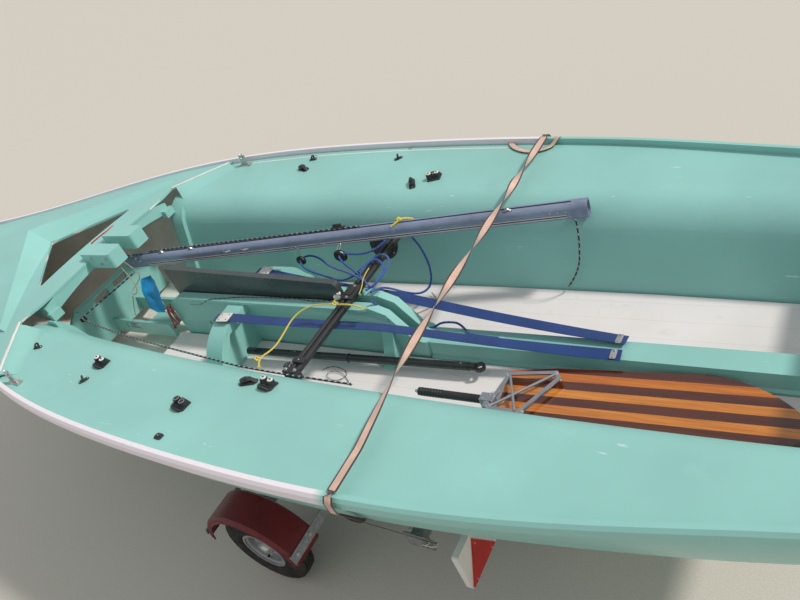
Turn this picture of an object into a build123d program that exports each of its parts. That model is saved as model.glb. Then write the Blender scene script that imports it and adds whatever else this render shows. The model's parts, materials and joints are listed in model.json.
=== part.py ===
from build123d import *
import math
import os

# A two-person racing dinghy on its road trailer, in millimetres, +Z up.
# The boat's own frame is used throughout: X forward from the transom, Y to port,
# Z up from the lowest point of the keel. The last lines move everything so that the
# origin lies under the middle of the whole outfit, on the ground.

# Hull
WALL = 12
KEEL_HEIGHT = 560           # keel above the ground, on the trailer
DECK_THICK = 12
BOTTOM_BULGE = 0.035        # rise of each arc over its chord
SIDE_BULGE = 0.10
# x, half beam, sheer height, keel height, bilge half breadth, bilge height
STATIONS = [
    (0, 700, 435, 60, 545, 135),
    (631, 839, 447, 29, 652, 109),
    (1262, 930, 470, 10, 705, 100),
    (1894, 952, 499, 1, 712, 102),
    (2525, 931, 531, 1, 662, 115),
    (3156, 830, 564, 11, 548, 142),
    (3788, 583, 591, 38, 355, 195),
    (4419, 292, 611, 102, 160, 290),
    (5050, 16, 630, 260, 9, 440),
]
INNER_BOW = (4988, 36, 628, 250, 18, 415)

# Cockpit
FLOOR_Z = 120
FLOOR_THICK = 14
FLOOR_FRONT = 3000
TANK_LEAN = 72              # slope of the tank wall, degrees
TANK_ROLL = 150             # radius of its rolled edge
TANK_SKIN = 11
TANK_TOP_SLOPE = 3
# x, half breadth of the cockpit floor
TANK_BASE = [(20, 345), (704, 374), (1388, 385), (2072, 382), (2756, 356), (3440, 290)]
SEAM = [(3050, 960), (3110, 805), (3160, 738), (3300, 536), (3270, 0)]

# Centreboard and its trunk
TRUNK_HALF = 55
TRUNK_TOP = 360
CAP_HALF = 68
TRUNK_FRONT = 2980
TRUNK_AFT = 1700
SLOT_HALF = 20
SLOT_FRONT = 2925
SLOT_AFT = 1530
BOARD_HALF = 14
BOARD_PIVOT = (2740, 200)
BOARD_HEAD = 165
SPINE_HALF = 62
SPINE_TOP = 190
RIB_AFT, RIB_FRONT = 2400, 2500

# Mast gate and foredeck
GATE_AFT, GATE_FRONT = 3262, 3415
GATE_HALF = 430
GATE_Z = 632
HATCH_HALF, HATCH_APEX = 340, 3731
MAST_HALF, CHEEK_OUT = 30, 120
CHEEK_AFT, CHEEK_TOP = 3068, 664
RING_AFT, RING_FRONT, RING_PROUD = 3190, 3258, 18
STEP_FRAME_X = 3490
# Coaming round the deck opening: its section on the centre line (x, z), the way it runs out to port
COAMING = [(3731, 625), (3731, 652), (3859, 733), (3925, 655), (3925, 625)]
COAMING_WAY = (-402, 500, -91.5)
COAMING_LONG = 790
CROWN = 46

# Trailer
HUB = (2130, 772, 205 - KEEL_HEIGHT)
TYRE_R, TYRE_W = 205, 100
RAIL_Z = 330 - KEEL_HEIGHT
RAIL_Y = 450
RAIL_TAIL = 1140
AXLE_X, AXLE_Z = 2250, 245 - KEEL_HEIGHT
GUARD_R = 260
GUARD_INNER, GUARD_OUTER = 698, 848
GUARD_OPEN = 12            # degrees above level at which the guard ends
STAY_TILT = 21             # degrees above level at which its stays lie
COUPLING_X, COUPLING_Z = 5420, 362 - KEEL_HEIGHT
JOCKEY = (4850, 82)
JOCKEY_R = 100
STRAP_X, STRAP_Z = 1262, 501
STRAP_TURN = 1.2
CROSS_X, CROSS_Z = 1330, 435 - KEEL_HEIGHT
LAMP_X, LAMP_LOW, LAMP_TOP = 1090, -190, -12
LAMP_HALF = 775
POST_X = 5170
# x, y, height of centre, radius, foot (x, z) of the arm
BILGE_ROLLERS = [(1550, 700, 20, 74, (1362, -108)), (2760, 530, 12, 60, (2760, -202))]

# Fittings on the side tanks: kind, x, y
PORT_FITTINGS = [
    ("eye", 3095, 628), ("cleat", 2627, 636), ("eye", 2626, 738), ("cleat", 2050, 740),
    ("eye", 2022, 886), ("block", 1854, 585), ("cleat", 1764, 580),
]
STARBOARD_FITTINGS = [
    ("block", 2542, -777), ("eye", 2533, -862), ("eye", 1997, -850), ("cleat", 1817, -645),
    ("cleat", 1723, -690),
]
SHROUD = (2990, 826, 584)
HATCH_X, HATCH_Z = 1940, 300
TRAVELLER_X, TRAVELLER_Z = 1810, TRUNK_TOP + 17
BLADE_Z, BLADE_THICK = 150, 22
# out from the sheer, up from the sheer
STRAKE_SECTION = [(-6, -27), (10, -27), (18, -14), (18, 14), (10, 25), (-6, 25)]

SIDES = (("port", 1), ("starboard", -1))
nodes = {}


def station_plane(x):
    """Plane across the boat: its x is to port, its y is up."""
    return Plane(origin=(x, 0, 0), x_dir=(0, 1, 0), z_dir=(1, 0, 0))


def arc(a, b, bulge):
    """Arc from a to b that stands out to the right of the way by bulge times its chord."""
    middle = ((a[0] + b[0]) / 2, (a[1] + b[1]) / 2)
    rise = (bulge * (b[1] - a[1]), -bulge * (b[0] - a[0]))
    return ThreePointArc(a, (middle[0] + rise[0], middle[1] + rise[1]), b)


def along(table, x, column=1):
    """Value of a table's column at x, straight between its rows."""
    for low, high in zip(table, table[1:]):
        if x <= high[0]:
            part = (x - low[0]) / (high[0] - low[0])
            return low[column] + part * (high[column] - low[column])
    return table[-1][column]


def hull_section(row, wall=0, rise=0):
    """Closed outline of the hull at one station, moved inwards by a wall."""
    x, beam, sheer, keel, bilge_y, bilge_z = row
    top = (beam - wall, sheer + rise)
    bilge = (max(bilge_y - wall * 0.8, 3), bilge_z + wall * 0.5)
    foot = (0, keel + wall)
    other_top = (-top[0], top[1])
    other_bilge = (-bilge[0], bilge[1])
    edges = [
        arc(foot, bilge, BOTTOM_BULGE),
        arc(bilge, top, SIDE_BULGE),
        Line(top, other_top),
        arc(other_top, other_bilge, SIDE_BULGE),
        arc(other_bilge, foot, BOTTOM_BULGE),
    ]
    return station_plane(x) * make_face(edges)


def make_hull():
    outer = loft([hull_section(row) for row in STATIONS])
    rows = STATIONS[:-1] + [INNER_BOW]
    inner = loft([hull_section(row, WALL, 25) for row in rows])
    slot = Pos((SLOT_FRONT + SLOT_AFT) / 2, 0, 0) * Box(SLOT_FRONT - SLOT_AFT, 2 * SLOT_HALF, 200)
    return outer, inner, outer - inner - slot


def tank_section(x, skin=0):
    """Side tank on the port side: leaning wall, rolled edge and a nearly flat top.

    With a skin it is the outline of the air inside, that much smaller all round.
    """
    lean_run = math.cos(math.radians(TANK_LEAN)) / math.sin(math.radians(TANK_LEAN))
    base = along(TANK_BASE, x) + skin / math.sin(math.radians(TANK_LEAN))
    roll = TANK_ROLL - skin
    beam, sheer = along(STATIONS, x, 1), along(STATIONS, x, 2)
    lean = math.radians(TANK_LEAN)
    slope = math.radians(TANK_TOP_SLOPE)
    top_start = sheer - beam * math.tan(slope) - skin / math.cos(slope)
    corner_z = (top_start + (base - FLOOR_Z / math.tan(lean)) * math.tan(slope))
    corner_z /= 1 - math.tan(slope) / math.tan(lean)
    corner_y = base + (corner_z - FLOOR_Z) / math.tan(lean)
    reach = roll * math.tan((lean - slope) / 2)
    wall_end = (corner_y - reach * math.cos(lean), corner_z - reach * math.sin(lean))
    top_begin = (corner_y + reach * math.cos(slope), corner_z + reach * math.sin(slope))
    centre = (wall_end[0] + roll * math.sin(lean), wall_end[1] - roll * math.cos(lean))
    turn = (lean + slope) / 2
    middle = (centre[0] - roll * math.sin(turn), centre[1] + roll * math.cos(turn))
    outside = beam + 80
    edges = [
        Line((base, FLOOR_Z), wall_end),
        ThreePointArc(wall_end, middle, top_begin),
        Line(top_begin, (outside, top_begin[1] + (outside - top_begin[0]) * math.tan(slope))),
        Line((outside, top_begin[1] + (outside - top_begin[0]) * math.tan(slope)), (outside, -60)),
        Line((outside, -60), (base - (60 + FLOOR_Z) * lean_run, -60)),
        Line((base - (60 + FLOOR_Z) * lean_run, -60), (base, FLOOR_Z)),
    ]
    return station_plane(x) * make_face(edges)


def tank_sections(skin=0):
    return [tank_section(x, skin) for x, _ in TANK_BASE]


def plan_prism(points, low, high):
    """Upright prism over a plan outline of (x, y) points."""
    return extrude(Pos(0, 0, low) * make_face(Polyline(*points, close=True)), high - low)


def make_tanks(inner):
    """Both side tanks as skins, and the same tanks solid, to trim what stands against them."""
    blank = loft(tank_sections())
    air = loft(tank_sections(TANK_SKIN))
    ahead = plan_prism(SEAM + [(3600, 0), (3600, 960)], -100, 900)
    behind = plan_prism([(-50, 0), (-50, 960), (3030, 960), (3090, 805), (3270, 530), (3250, 0)], -100, 900)
    port = ((blank - (air & behind)) & inner) - ahead
    solid = blank + mirror(blank, about=Plane.XZ)
    return port, mirror(port, about=Plane.XZ), solid


def deck_section(row, drop, spread=0):
    x, beam, sheer, *_ = row
    beam += spread
    crown = CROWN * min(1, beam / 600) ** 0.5
    left, right, top = (beam, sheer - drop), (-beam, sheer - drop), (0, sheer + crown - drop)
    edges = [
        ThreePointArc(left, top, right),
        Line(right, (-beam, sheer - drop - 400)),
        Line((-beam, sheer - drop - 400), (beam, sheer - drop - 400)),
        Line((beam, sheer - drop - 400), left),
    ]
    return station_plane(x) * make_face(edges)


def make_foredeck(outer):
    """Deck skin from the seams forward, with the opening ahead of the mast beam and its raised coaming."""
    rows = STATIONS[2:]
    top = loft([deck_section(row, -DECK_THICK, 2) for row in rows])
    under = loft([deck_section(row, 0, 40) for row in rows])
    rim = SEAM[:-1] + [(GATE_AFT + 8, GATE_HALF), (GATE_AFT, 330)]
    rim += [(x, -y) for x, y in reversed(rim)]
    rim += [(5100, -960), (5100, 960)]
    hatch = plan_prism([(GATE_FRONT, HATCH_HALF), (HATCH_APEX, 0), (GATE_FRONT, -HATCH_HALF)], 300, 900)
    crest = make_face(Polyline(*COAMING, close=True))
    sweep_way = Vector(*COAMING_WAY)
    ridge = extrude(Plane.XZ * crest, COAMING_LONG, dir=sweep_way)
    ridge = (ridge + mirror(ridge, about=Plane.XZ)) - under
    whole = (top - under + ridge) & plan_prism(rim, 300, 900)
    return whole - fillet(hatch.edges().filter_by(Axis.Z), 14)


def make_gate(deck, tanks):
    """Arched beam under the deck's aft edge, the mast's two cheeks, and a ring frame down each tank."""
    long = GATE_FRONT - GATE_AFT - 8
    face = make_face([
        ThreePointArc((GATE_HALF, 585), (0, GATE_Z + 20), (-GATE_HALF, 585)),
        Line((-GATE_HALF, 585), (-GATE_HALF, 528)),
        ThreePointArc((-GATE_HALF, 528), (0, GATE_Z - 52), (GATE_HALF, 528)),
        Line((GATE_HALF, 528), (GATE_HALF, 585)),
    ])
    beam = extrude(station_plane(GATE_AFT + 4) * face, long)
    below_deck = loft([deck_section(row, 0) for row in STATIONS[2:]])
    beam = (beam & below_deck) - deck - tanks
    cheek = Pos((CHEEK_AFT + GATE_AFT + 30) / 2, (MAST_HALF + CHEEK_OUT) / 2, (CHEEK_TOP + 585) / 2) * Box(
        GATE_AFT + 30 - CHEEK_AFT, CHEEK_OUT - MAST_HALF, CHEEK_TOP - 585)
    cheek = fillet(cheek.edges().filter_by(Axis.Z).group_by(Axis.X)[0], 16) - deck
    beam += cheek + mirror(cheek, about=Plane.XZ)
    swollen = loft([tank_section(x, -RING_PROUD) for x in (RING_AFT, RING_FRONT)])
    ring = swollen & (Pos((RING_AFT + RING_FRONT) / 2, 300, 345) * Box(RING_FRONT - RING_AFT, 330, 450))
    ring = ring - tanks - deck
    ring = largest(ring)
    joint = Pos(RING_FRONT - 6, 410, 540) * Box(30, 60, 40) - tanks - deck
    ring += joint
    return beam + ring + mirror(ring, about=Plane.XZ)


def make_strake(side):
    """Rubbing strake along the sheer, a rounded band in flat facets."""
    sections = []
    for x, beam, sheer, *_ in STATIONS:
        outline = [(beam + out, sheer + up) for out, up in STRAKE_SECTION]
        sections.append(station_plane(x) * make_face(Polyline(*outline, close=True)))
    strake = loft(sections)
    return strake if side > 0 else mirror(strake, about=Plane.XZ)


def make_floor():
    """Cockpit floor, one panel on each side of the spine."""
    rows = [(x, y) for x, y in TANK_BASE if x < FLOOR_FRONT]
    outer_edge = rows + [(FLOOR_FRONT, along(TANK_BASE, FLOOR_FRONT))]
    outline = [(x, y - 8) for x, y in outer_edge] + [(FLOOR_FRONT, TRUNK_HALF + 9), (20, TRUNK_HALF + 9)]
    port = plan_prism(outline, FLOOR_Z - FLOOR_THICK, FLOOR_Z)
    return [port, mirror(port, about=Plane.XZ)]


def make_trunk():
    """Trunk with its slot, a capping along its top edge, sloping down at its aft end."""
    low = 30
    side = make_face(Polyline(
        (TRUNK_FRONT, low), (TRUNK_FRONT, 250), (2940, 320), (2880, TRUNK_TOP - 8), (2800, TRUNK_TOP),
        (TRUNK_AFT, TRUNK_TOP), (1630, 330), (1550, SPINE_TOP + 20), (1490, SPINE_TOP), (1490, low), close=True))
    body = extrude(Plane.XZ * side, TRUNK_HALF, both=True)
    body = fillet(body.edges().filter_by(Axis.Z), 25)
    cap = Pos((2860 + TRUNK_AFT) / 2, 0, TRUNK_TOP - 6) * Box(2860 - TRUNK_AFT, 2 * CAP_HALF, 14)
    cap = fillet(cap.edges().filter_by(Axis.Z), 40)
    body = body + cap
    slot = Pos((SLOT_FRONT + SLOT_AFT) / 2, 0, 200) * Box(SLOT_FRONT - SLOT_AFT, 2 * SLOT_HALF, 500)
    return body - slot - y_cylinder(BOARD_PIVOT[0], 0, BOARD_PIVOT[1], 8, 200)


def make_board():
    """Centreboard, raised: its head is round about the pin and its upper edge stands out of the trunk."""
    px, pz = BOARD_PIVOT
    reach = BOARD_HEAD * math.sqrt(0.5)
    outline = make_face([
        Line((1885, 448), (2900, 497)),
        Line((2900, 497), (px + BOARD_HEAD, pz)),
        ThreePointArc((px + BOARD_HEAD, pz), (px + reach, pz - reach), (px, pz - BOARD_HEAD)),
        Line((px, pz - BOARD_HEAD), (1640, 60)),
        ThreePointArc((1640, 60), (1700, 230), (1858, 345)),
        Line((1858, 345), (1858, 425)),
        ThreePointArc((1858, 425), (1866, 442), (1885, 448)),
    ])
    plate = extrude(Plane.XZ * outline, BOARD_HALF, both=True)
    pin_hole = Pos(px, 0, pz) * Rot(90, 0, 0) * Cylinder(8.5, 100)
    return plate - pin_hole


def y_cylinder(x, y, z, radius, length):
    return Pos(x, y, z) * Rot(90, 0, 0) * Cylinder(radius, length)


def rod(a, b, radius, inner=0):
    """Round bar or tube from a to b."""
    start, end = Vector(*a), Vector(*b)
    plane = Plane(origin=start, z_dir=end - start)
    shape = Circle(radius) - Circle(inner) if inner else Circle(radius)
    return extrude(plane * shape, (end - start).length)


def square_tube(a, b, width, height, wall=3):
    """Rectangular tube from a to b, its height upright."""
    start, end = Vector(*a), Vector(*b)
    way = end - start
    side = Vector(0, 0, 1).cross(way)
    plane = Plane(origin=start, x_dir=side, z_dir=way)
    ring = RectangleRounded(width, height, 6) - Rectangle(width - 2 * wall, height - 2 * wall)
    return extrude(plane * ring, way.length)


def make_frames():
    """Box frame ahead of the cockpit and a flared knee at the trunk's aft end, on each side."""
    forward, aft = [], []
    for _, side in SIDES:
        top = make_face([
            Line((CAP_HALF, TRUNK_TOP - 14), (180, TRUNK_TOP - 24)),
            ThreePointArc((180, TRUNK_TOP - 24), (260, 300), (330, 210)),
            Line((330, 210), (400, FLOOR_Z)),
            Line((400, FLOOR_Z), (TRUNK_HALF, FLOOR_Z)),
            Line((TRUNK_HALF, FLOOR_Z), (TRUNK_HALF, TRUNK_TOP - 14)),
            Line((TRUNK_HALF, TRUNK_TOP - 14), (CAP_HALF, TRUNK_TOP - 14)),
        ])
        low = extrude(station_plane(RIB_AFT) * top, RIB_FRONT - RIB_AFT)
        under = Polyline((TRUNK_HALF, 310), (210, 300), (300, 190), (330, FLOOR_Z), (TRUNK_HALF, FLOOR_Z), close=True)
        low -= extrude(station_plane(RIB_AFT) * make_face(under), 34)
        forward.append(low if side > 0 else mirror(low, about=Plane.XZ))
        web = make_face([
            Line((TRUNK_HALF + 0.5, 332), (62, 284)),
            ThreePointArc((62, 284), (90, 195), (150, FLOOR_Z + 1)),
            Line((150, FLOOR_Z + 1), (TRUNK_HALF + 0.5, FLOOR_Z + 1)),
            Line((TRUNK_HALF + 0.5, FLOOR_Z + 1), (TRUNK_HALF + 0.5, 332)),
        ])
        knee = extrude(station_plane(1628) * web, 52)
        aft.append(knee if side > 0 else mirror(knee, about=Plane.XZ))
    return forward, aft


def cut_by(shapes, tool):
    """Each shape without the tool, and only its largest solid."""
    return [largest(shape - tool) for shape in shapes]


def largest(shape):
    return max(shape.solids(), key=lambda solid: solid.volume)


def make_mast_step():
    """Cross frame with two oval holes ahead of the mast, and the step rails."""
    web = make_face(Polyline((-300, 118), (300, 118), (300, 330), (240, 378), (-240, 378), (-300, 330), close=True))
    for side in (1, -1):
        web -= Pos(side * 70, 342) * SlotOverall(104, 40)
    frame = extrude(station_plane(STEP_FRAME_X) * web, 22)
    flange = Pos(STEP_FRAME_X - 12, 0, 374) * Box(26, 470, 8)
    rails = [Pos(3250, side * 92, 160) * Box(480, 18, 84) for side in (1, -1)]
    rails = [rail - Pos(3330, 0, 170) * Rot(90, 0, 0) * Box(120, 34, 300) for rail in rails]
    plate = Pos(3200, 0, 126) * Box(220, 120, 12)
    return [frame + flange + rails[0] + rails[1], plate]


def make_transom(inner):
    """Transom panel inside the hull's skin, with two drain openings."""
    blank = extrude(hull_section(STATIONS[0], WALL - 4), 20) & inner
    for side in (1, -1):
        blank -= Pos(10, side * 250, 235) * Box(80, 240, 150)
    return blank


def make_flap_hinges():
    """Hinge leaves on the transom at both ends of each flap's barrel."""
    leaves = Part()
    for side in (1, -1):
        for end in (-1, 1):
            y = side * 250 + end * 122
            leaves += Pos(-2.5, y, 137) * Box(5, 18, 24) + Pos(-6, y, 144.5) * Box(6, 18, 8)
            leaves += y_cylinder(-9, y, 146, 3.4, 18)
    return leaves


def make_flap(side):
    """Drain flap on the outside of the transom, hinged at its lower edge."""
    plate = Pos(-8, side * 250, 238) * Box(8, 268, 176)
    plate = fillet(plate.edges().filter_by(Axis.X), 12)
    barrel = y_cylinder(-9, side * 250, 146, 5, 220)
    return plate + barrel


def make_gudgeons():
    parts = []
    for z in (150, 380):
        leaf = Pos(-3, 0, z) * Box(6, 90, 40)
        eye = Pos(-26, 0, z) * Cylinder(11, 24)
        arm = Pos(-15, 0, z) * Box(24, 18, 24)
        parts.append(leaf + arm + eye - Pos(-26, 0, z) * Cylinder(5.05, 60))
    return parts


def make_boom():
    """Boom lying from the mast beam to the starboard tank: slotted tube, fore plug and open aft end."""
    fore, aft = Vector(3220, -62, 482), Vector(950, -474, 445)
    way = aft - fore
    plane = Plane(origin=fore, x_dir=Vector(0, 0, 1).cross(way), z_dir=way)
    ring = RectangleRounded(58, 70, 24) - RectangleRounded(52, 64, 21)
    ring -= Pos(0, 35) * Rectangle(9, 12)
    tube = extrude(plane * ring, way.length - 60)
    plug = extrude(plane.offset(-40) * RectangleRounded(50, 62, 20), 70)
    end = extrude(plane.offset(way.length - 60) * (RectangleRounded(60, 72, 25) - RectangleRounded(46, 58, 18)), 60)
    return tube, [plug, end]


def make_rudder():
    """Blade, the open frame of flat bars that holds its head, and the tiller."""
    outline = make_face([
        Line((1110, 128), (940, 94)),
        Line((940, 94), (500, 60)),
        ThreePointArc((500, 60), (330, 85), (180, 190)),
        ThreePointArc((180, 190), (190, 265), (300, 300)),
        Line((300, 300), (1090, 330)),
        Line((1090, 330), (1110, 128)),
    ])
    blade = extrude(Pos(0, 0, BLADE_Z) * outline, BLADE_THICK)
    top = BLADE_Z + BLADE_THICK
    loop_points = [(1122, 332), (1096, 160), (930, 130), (902, 158), (992, 332)]
    face = fillet(make_face(Polyline(*loop_points, close=True)).vertices(), 10)
    ring = face - offset(face, -14)
    stock = extrude(Pos(0, 0, BLADE_Z - 7) * ring, 6)
    stock += extrude(Pos(0, 0, top + 22) * ring, 6)
    brace = rod((1108, 322, top + 27), (925, 142, top + 27), 5)
    cross = rod((1010, 326, top + 27), (1088, 168, top + 27), 5)
    posts = None
    for x, y in ((1114, 325), (1101, 172), (928, 139), (985, 325)):
        post = rod((x, y, BLADE_Z - 4), (x, y, top + 27), 4.5)
        posts = post if posts is None else posts + post
    blade -= posts
    stock = stock + posts + brace + cross
    socket = Pos(1128, 286, 190) * Box(46, 34, 34)
    stock += socket + Pos(1120, 300, 186) * Box(16, 60, 40)
    tiller = rod((1153, 288, 190), (1390, 306, 210), 15)
    return blade, stock, tiller


def band(points, width, thick):
    """Flat webbing laid over a line of points, its width to the side."""
    pieces = []
    for a, b in zip(points, points[1:]):
        start, end = Vector(*a), Vector(*b)
        way = end - start
        plane = Plane(origin=start, x_dir=Vector(0, 0, 1).cross(way), z_dir=way)
        pieces.append(extrude(plane * Rectangle(width, thick), way.length))
    body = pieces[0]
    for piece in pieces[1:]:
        body = body + piece
    return body


def make_toe_straps():
    """Webbing from each rib to the floor aft, under the traveller."""
    return [band([(2490, side * 162, 350), (1640, side * 90, 298), (735, side * 36, 203)], 46, 4)
            for _, side in SIDES]


def make_tie_down():
    """Webbing over the boat from one side of the trailer to the other, a little askew."""
    half = [(705, -85), (956, 445), (957, 487), (945, STRAP_Z)]
    path = half + [(-y, z) for y, z in reversed(half)]
    ribbon = trace(Polyline(*path), line_width=3)
    flat = extrude(station_plane(-23) * ribbon, 46)
    return Pos(STRAP_X, 0, 0) * Rot(0, 0, STRAP_TURN) * flat


def make_wheel(side):
    x, y, z = HUB
    half = TYRE_W / 2
    quarter = [(34, 98), (34, 107), (44, 113), (49, 130), (half, 150), (48, 172), (43, 188), (30, 198), (12, 204)]
    outline = quarter + [(0, TYRE_R)] + [(-across, out) for across, out in reversed(quarter)]
    tyre_profile = make_face(Polyline(*outline, close=True))
    rim_profile = make_face(Polyline(
        (-42, 106), (-42, 97), (-30, 90), (-30, 84), (-6, 80), (6, 60), (2, 36), (-50, 34), (-50, 17),
        (30, 17), (30, 34), (10, 40), (14, 60), (4, 84), (30, 86), (34, 97), (42, 97), (42, 106),
        (35, 106), (35, 98), (-35, 98), (-35, 106), close=True))
    turn = Plane(origin=(x, side * y, z), x_dir=(0, side, 0), z_dir=(1, 0, 0))
    axis = Axis((x, side * y, z), (0, side, 0))
    tyre = revolve(turn * tyre_profile, axis)
    rim = revolve(turn * rim_profile, axis)
    return tyre, rim


def make_mudguard(side):
    """Pressed guard with turned-down, rolled edges, round the top of the wheel."""
    x, _, z = HUB
    inner, outer = GUARD_INNER, GUARD_OUTER
    low, top, wall = GUARD_R - 18, GUARD_R + 6, 4
    profile = make_face(Polyline(
        (inner, low), (inner, top - 8), (inner + 9, top), (outer - 9, top), (outer, top - 8), (outer, low),
        (outer + 5, low - 4), (outer + 3, low - 8), (outer - wall, low - 4), (outer - wall, top - 10),
        (outer - 10, top - wall), (inner + 10, top - wall), (inner + wall, top - 10), (inner + wall, low),
        close=True))
    start = Plane(origin=(x, 0, z), x_dir=(0, 1, 0), z_dir=(0, 0, -1))
    shell = revolve(start * profile, Axis((x, 0, z), (0, -1, 0)), 180 - 2 * GUARD_OPEN)
    shell = Pos(x, 0, z) * Rot(0, -GUARD_OPEN, 0) * Pos(-x, 0, -z) * shell
    return shell if side > 0 else mirror(shell, about=Plane.XZ)


def make_chassis():
    """Drawbar, two rails that spread from it, and their cross members."""
    parts = [square_tube((5290, 0, RAIL_Z), (3040, 0, RAIL_Z), 60, 60)]
    for _, side in SIDES:
        parts.append(square_tube((3900, side * 52, RAIL_Z), (2750, side * RAIL_Y, RAIL_Z), 40, 60))
        parts.append(square_tube((2762, side * RAIL_Y, RAIL_Z), (RAIL_TAIL, side * RAIL_Y, RAIL_Z), 40, 60))
        parts.append(Pos((LAMP_X + 24 + RAIL_TAIL) / 2, side * RAIL_Y, RAIL_Z + 28)
                     * Box(RAIL_TAIL - LAMP_X - 24, 40, 64))
    parts.append(square_tube((3040, -345, RAIL_Z), (3040, 345, RAIL_Z), 50, 50))
    parts.append(square_tube((1200, -430, RAIL_Z), (1200, 430, RAIL_Z), 50, 50))
    frame = parts[0]
    for part in parts[1:]:
        frame = frame + part
    return frame


def make_axle():
    """Axle tube on pads below the rails, and a trailing arm with its stub at each end."""
    beam = square_tube((AXLE_X, -640, AXLE_Z), (AXLE_X, 640, AXLE_Z), 60, 60, 4)
    for _, side in SIDES:
        pad_top = RAIL_Z - 30
        pad_low = AXLE_Z + 30
        beam += Pos(AXLE_X, side * RAIL_Y, (pad_top + pad_low) / 2) * Box(96, 46, pad_top - pad_low)
    arms = []
    for _, side in SIDES:
        arm = rod((AXLE_X, side * 641, AXLE_Z), (AXLE_X, side * 668, AXLE_Z), 36)
        arm += rod((HUB[0], side * 641, HUB[2]), (HUB[0], side * 668, HUB[2]), 30)
        link = Vector(AXLE_X, 0, AXLE_Z) - Vector(HUB[0], 0, HUB[2])
        plane = Plane(origin=(HUB[0], side * 654.5, HUB[2]), x_dir=(0, 1, 0), z_dir=link)
        arm += extrude(plane * Rectangle(25, 50), link.length)
        arm += rod((HUB[0], side * 660, HUB[2]), (HUB[0], side * 800, HUB[2]), 16.8)
        arms.append(arm)
    return beam, arms


def make_roller_set():
    """Keel rollers and bilge rollers, each on its bracket."""
    rollers, brackets = [], []
    for x, keel in ((1250, 10), (3120, 10), (4200, 74)):
        centre = keel - 43
        foot = RAIL_Z + (30 if x > 2000 else 25)
        bracket = Pos(x, 0, foot + 3) * Box(60, 129, 6)
        for side in (1, -1):
            bracket += Pos(x, side * 62, (foot + centre + 25) / 2) * Box(60, 5, centre + 25 - foot)
        brackets.append(bracket + y_cylinder(x, 0, centre, 9, 140))
        rollers.append(y_cylinder(x, 0, centre, 40, 110) - y_cylinder(x, 0, centre, 9.2, 120))
    for _, side in SIDES:
        for x, y, centre, radius, foot in BILGE_ROLLERS:
            inner_end = side * (y - 45)
            bracket = y_cylinder(x, side * (y - 12), centre, 10, 88)
            start = Vector(foot[0], inner_end, foot[1])
            way = Vector(x, inner_end, centre) - start
            plane = Plane(origin=start, x_dir=(0, 1, 0), z_dir=way)
            bracket += extrude(plane * Rectangle(12, 46), way.length)
            brackets.append(bracket)
            rollers.append(y_cylinder(x, side * y, centre, radius, 50)
                           - y_cylinder(x, side * y, centre, 10.2, 60))
    return rollers, brackets


def make_cross_member():
    """Raised cross member near the tail, on two uprights, with drilled end plates."""
    parts = square_tube((CROSS_X, -690, CROSS_Z), (CROSS_X, 690, CROSS_Z), 50, 50)
    for _, side in SIDES:
        upright = RAIL_Z + 30
        parts += Pos(CROSS_X, side * RAIL_Y, (upright + CROSS_Z - 25) / 2) * Box(
            44, 38, CROSS_Z - 25 - upright)
        plate = Pos(CROSS_X - 10, side * 693, CROSS_Z) * Box(110, 6, 74)
        parts += plate - y_cylinder(CROSS_X - 50, side * 693, CROSS_Z, 6, 20)
    return parts


def make_lamp_board():
    """Board across the tail with two lamps, two red triangles and a blank plate."""
    height = LAMP_TOP - LAMP_LOW
    middle = (LAMP_TOP + LAMP_LOW) / 2
    board = Pos(LAMP_X + 12, 0, middle) * Box(24, 2 * LAMP_HALF, height)
    board = fillet(board.edges().filter_by(Axis.X), 10)
    lamps, triangles = [], []
    for _, side in SIDES:
        lamp = Pos(LAMP_X - 18, side * 440, middle) * Box(36, 200, 96)
        lamps.append(fillet(lamp.edges().filter_by(Axis.X), 12))
        points = [(LAMP_X, side * 682 + y, LAMP_LOW + 8 + z) for y, z in ((-88, 0), (88, 0), (0, 152))]
        face = make_face(Polyline(*points, close=True))
        triangles.append(extrude(face, 6, dir=(-1, 0, 0)))
    plate = Pos(LAMP_X - 1.5, 0, middle) * Box(3, 520, 110)
    return board, lamps, triangles, plate


def make_guard_stays():
    """Flat bars that lie over both ends of each guard and run in to the frame rail."""
    stays = []
    for _, side in SIDES:
        for ahead in (1, -1):
            bar = Pos(GUARD_R + 8.5, side * 661, 0) * Box(5, 382, 40)
            tilt = -STAY_TILT if ahead > 0 else STAY_TILT - 180
            bar = Pos(HUB[0], 0, HUB[2]) * Rot(0, tilt, 0) * bar
            x = HUB[0] + ahead * (GUARD_R + 9) * math.cos(math.radians(STAY_TILT))
            leg = Pos(x, side * (RAIL_Y + 23), -258) * Box(44, 6, 84)
            stays.append(bar + leg)
    return stays


def make_coupling():
    """Pressed coupling head with its ball socket and hand lever."""
    x, z = COUPLING_X, COUPLING_Z
    neck = Pos((5240 + x) / 2, 0, z - 8) * Box(x - 5240, 66, 66)
    head = Pos(x, 0, z) * Cylinder(42, 58)
    body = neck + fillet(head.edges().filter_by(GeomType.CIRCLE).group_by(Axis.Z)[-1], 14)
    body -= Pos(x, 0, z - 8) * Sphere(25.3)
    body -= Pos(x, 0, z - 36) * Cylinder(25.3, 56)
    body -= square_tube_bore(5200, 5292)
    lever = rod((x - 40, 0, z + 20), (x - 62, 0, z + 62), 9)
    lever += rod((x - 62, 0, z + 60), (x - 150, 0, z + 74), 12)
    return body + lever


def square_tube_bore(start, end):
    return Pos((start + end) / 2, 0, RAIL_Z) * Box(end - start, 60.4, 60.4)


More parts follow.
